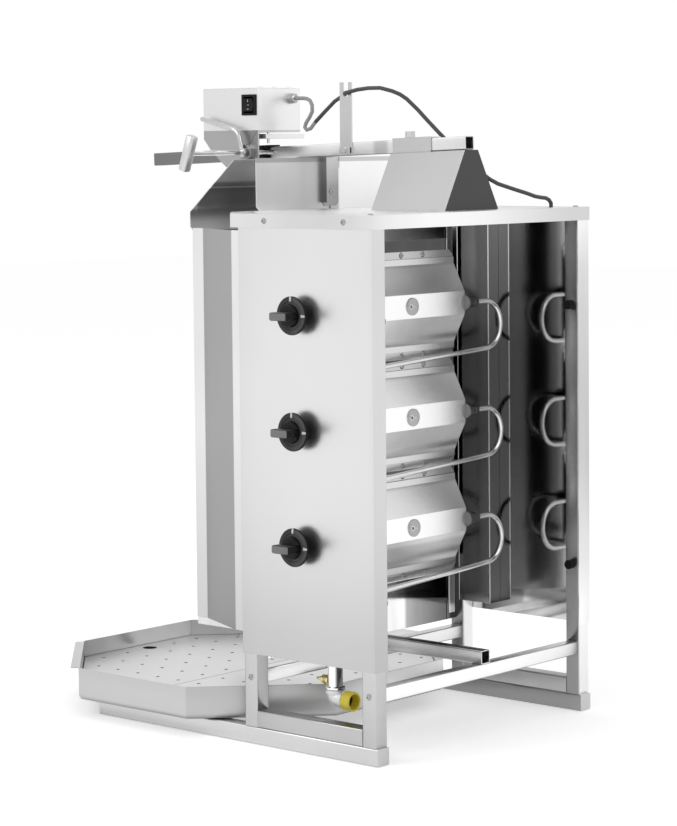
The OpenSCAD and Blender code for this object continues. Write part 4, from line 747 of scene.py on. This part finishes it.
def cable_part(name, points, bodies, bend, light=0):
    """A stretch of cable between two bodies, baked in place with its bend unused; its first rings are a
    light sleeve.
    """
    start, end = [Vector(p) * MM for p in bend]
    obj = piece(name, [sweep(points, CABLE_D, CABLE_SIDES, 0)], "cable", (*bodies, start, end),
                ["power_cable"])
    obj.data.materials.append(M["sleeve_grey"])
    for face in obj.data.polygons[:light * CABLE_SIDES]:
        face.material_index = 1


# The two stretches meet just behind the fork, which holds the cable on the upper beam
held = CABLE_PTS.index(FORK_PT) + 1
seam = tuple((Vector(CABLE_PTS[held - 1]) + Vector(CABLE_PTS[held])) / 2)
cable_part("cable_front", CABLE_PTS[:held] + [seam], ("upper_beam", "carriage"), FRONT_BEND, LIGHT_RINGS)
cable_part("cable_back", [seam] + CABLE_PTS[held:], ("frame", "upper_beam"), BACK_BEND)

# Cable gland

GLAND_AT = (-42, -136, 936)
piece("gland_nut", [
    lathe([(8.6, 0), (9, 0.5), (9, 3.4), (8.6, 3.9)], GLAND_AT, (0, 1, 0), 6),
    lathe([(7.2, 3.5), (7.2, 4.6), (6.6, 4.9), (7.2, 5.2), (7.2, 5.9)], GLAND_AT, (0, 1, 0)),
    lathe([(7.7, 5.6), (8.2, 6), (8.2, 8.4), (7.8, 8.8)], GLAND_AT, (0, 1, 0), 6),
    lathe([(6.8, 8.6), (6.2, 10.2), (4.4, 11.0), (3.1, 11.0)], GLAND_AT, (0, 1, 0)),
], "nut", "carriage", ["cable_gland"])

# Rocker marks

ROCK_Y = -153
ROCK_IN, ROCK_OUT, ROCK_R, ROCK_EASE = 1, 0.35, 0.3, 0.15
# Face of the rocker at the mark, its height, and the mark's height and width
ROCK_MARKS = ((37.6, 932.5, 4.2, 1.0), (37.6, 919.5, 1.0, 3.6), (36.8, 926, 1.0, 2.6))
marks = []
for x, z, h, w in ROCK_MARKS:
    lo, hi = (x - ROCK_IN, ROCK_Y - w / 2, z - h / 2), (x + ROCK_OUT, ROCK_Y + w / 2, z + h / 2)
    marks.append(bar(lo, hi, "X", ROCK_R, ease=ROCK_EASE))
piece("rocker_marks", marks, "mark", "rocker")

# Clamp screw and lever

CLAMP_Y, CLAMP_Z = -156, 853
ROD_X1, ROD_X2, ROD_R = -19.7, 165.7, 3.85
HANDLE_L, HANDLE_D, HANDLE_R, HANDLE_EASE, HANDLE_TILT = 56, 15.5, 4.6, 2.4, 19
rod = lathe([(3.2, 0), (ROD_R, 1), (ROD_R, ROD_X2 - ROD_X1)], (ROD_X1, CLAMP_Y, CLAMP_Z), (1, 0, 0), 24)
piece("clamp_rod", [rod], "bright", "clamp_screw", ["clamp_screw"])
tilt = Matrix.Translation((ROD_X2, CLAMP_Y, CLAMP_Z)) @ Matrix.Rotation(math.radians(-HANDLE_TILT), 4, "X")
half = Vector((HANDLE_D, HANDLE_D, HANDLE_L)) / 2
piece("clamp_handle", [bar(-half, half, "Z", HANDLE_R, ease=HANDLE_EASE)], "satin", "clamp_screw",
      (), tilt)
HUB_X1, HUB_X2 = 42.3, 49.3
HUB_PROFILE = [(6.2, 0), (7, 0.8), (7, 6.2), (6.2, 7)]
LEVER_D, LEVER_BEND = 7, 12
# The lever's corners, along Y and Z from the clamp screw
LEVER_CORNERS = ((-2, 4), (-11, 34), (-89, 53))
arm = [((HUB_X1 + HUB_X2) / 2, CLAMP_Y + dy, CLAMP_Z + dz) for dy, dz in LEVER_CORNERS]
piece("lever_arm", [
    sweep(rounded_path(arm, LEVER_BEND, 8), LEVER_D, 20, 0.3),
    lathe(HUB_PROFILE, (HUB_X1, CLAMP_Y, CLAMP_Z), (1, 0, 0), 32),
], "lever", "clamp_lever", ["clamp_lever"])

# Burner discs

DISC_X, DISC_Y, DISC_R = 12.5, 153.4, 13
DISC_SINK = 0.4
DISC_PROFILE = [(DISC_R - 0.2, 0), (DISC_R, 0.3), (DISC_R - 0.2, 0.7), (DISC_R - 1, 0.8)]
EYE_OFF = 5.2
EYE_PROFILE = [(4.4, 0.2), (4.4, 0.9), (4.0, 1.2), (2.9, 1.2), (2.5, 0.9), (2.5, 0.2)]
WELL_PROFILE = [(2.4, 0.4), (2.3, 0.6), (1.2, 0.65)]
BAR_X1, BAR_X2, BAR_HALF, BAR_R, BAR_EASE = -6.5, 1, 0.7, 0.5, 0.2
NIB_X1, NIB_X2, NIB_HALF, NIB_R = -6.8, -4.6, 2, 0.6
MARK_LOW, MARK_HIGH = 0.2, 1
for i, z in enumerate(KNOB_ZS):
    disc = lathe(DISC_PROFILE, (DISC_X, DISC_Y - DISC_SINK, z), (0, 1, 0), 40)
    piece(f"burner_disc_{i + 1}", [disc], "nut", "frame")
    hub = (DISC_X + EYE_OFF, DISC_Y, z)
    marks = [lathe(EYE_PROFILE, hub, (0, 1, 0), 32, True)]
    for x1, x2, high, r in ((BAR_X1, BAR_X2, BAR_HALF, BAR_R), (NIB_X1, NIB_X2, NIB_HALF, NIB_R)):
        lo, hi = (DISC_X + x1, DISC_Y + MARK_LOW, z - high), (DISC_X + x2, DISC_Y + MARK_HIGH, z + high)
        marks.append(bar(lo, hi, "Y", r, ease=BAR_EASE))
    piece(f"burner_mark_{i + 1}", marks, "bright", "frame")
    well = lathe(WELL_PROFILE, hub, (0, 1, 0), 24)
    piece(f"burner_well_{i + 1}", [well], "fitting", "frame")

# Floor and light

FLOOR_HALF = 12
FLOOR_DROP = -0.0005
FLOOR_GREY = 0.86
FLOOR_GLOW = 0.47
AMBIENT = 0.6
AIM = (0, 0, 0.45)
KEY_AT, KEY_SIZE, KEY_W = (3.2, -1.2, 3.0), 2.2, 45
FILL_AT, FILL_SIZE, FILL_W = (-0.6, 3.4, 2.6), 2.0, 20

floor_mesh = bpy.data.meshes.new("floor")
corners = [(-FLOOR_HALF, -FLOOR_HALF, FLOOR_DROP), (FLOOR_HALF, -FLOOR_HALF, FLOOR_DROP),
           (FLOOR_HALF, FLOOR_HALF, FLOOR_DROP), (-FLOOR_HALF, FLOOR_HALF, FLOOR_DROP)]
floor_mesh.from_pydata(corners, [], [(0, 1, 2, 3)])
floor = bpy.data.objects.new("floor", floor_mesh)
scene.collection.objects.link(floor)
fm, nt, bsdf = new_mat("floor_white")
bsdf.inputs["Base Color"].default_value = (FLOOR_GREY, FLOOR_GREY, FLOOR_GREY, 1)
bsdf.inputs["Roughness"].default_value = 1.0
bsdf.inputs["Specular IOR Level"].default_value = 0.0
lp = nt.nodes.new("ShaderNodeLightPath")
em = nt.nodes.new("ShaderNodeEmission")
em.inputs["Color"].default_value = (1, 1, 1, 1)
add = nt.nodes.new("ShaderNodeAddShader")
nt.links.new(bsdf.outputs[0], add.inputs[0])
nt.links.new(em.outputs[0], add.inputs[1])
seen = math_node(nt, "MAXIMUM", lp.outputs["Is Camera Ray"], lp.outputs["Is Glossy Ray"])
nt.links.new(math_node(nt, "MULTIPLY", seen, FLOOR_GLOW), em.inputs["Strength"])
nt.links.new(add.outputs[0], nt.nodes["Material Output"].inputs["Surface"])
floor_mesh.materials.append(fm)
floor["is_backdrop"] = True

world = bpy.data.worlds.new("studio")
scene.world = world
world.use_nodes = True
wt = world.node_tree
wt.nodes.clear()
wout = wt.nodes.new("ShaderNodeOutputWorld")
wb = wt.nodes.new("ShaderNodeBackground")
wlp = wt.nodes.new("ShaderNodeLightPath")
wb.inputs["Color"].default_value = (1, 1, 1, 1)
seen = math_node(wt, "MAXIMUM", wlp.outputs["Is Camera Ray"], wlp.outputs["Is Glossy Ray"])
seen = math_node(wt, "MAXIMUM", seen, wlp.outputs["Is Transmission Ray"])
wt.links.new(remap(wt, seen, 0, 1, AMBIENT, 1.0), wb.inputs["Strength"])
wt.links.new(wb.outputs[0], wout.inputs["Surface"])


def area(name, at, to, size, power):
    """A square lamp at a point, aimed at another."""
    d = bpy.data.lights.new(name, "AREA")
    d.shape = "RECTANGLE"
    d.size, d.size_y = size, size
    d.energy = power
    o = bpy.data.objects.new(name, d)
    scene.collection.objects.link(o)
    o.location = at
    o.rotation_mode = "QUATERNION"
    o.rotation_quaternion = (Vector(to) - Vector(at)).to_track_quat("-Z", "Y")


area("key", KEY_AT, AIM, KEY_SIZE, KEY_W)
area("fill", FILL_AT, AIM, FILL_SIZE, FILL_W)

lo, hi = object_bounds()
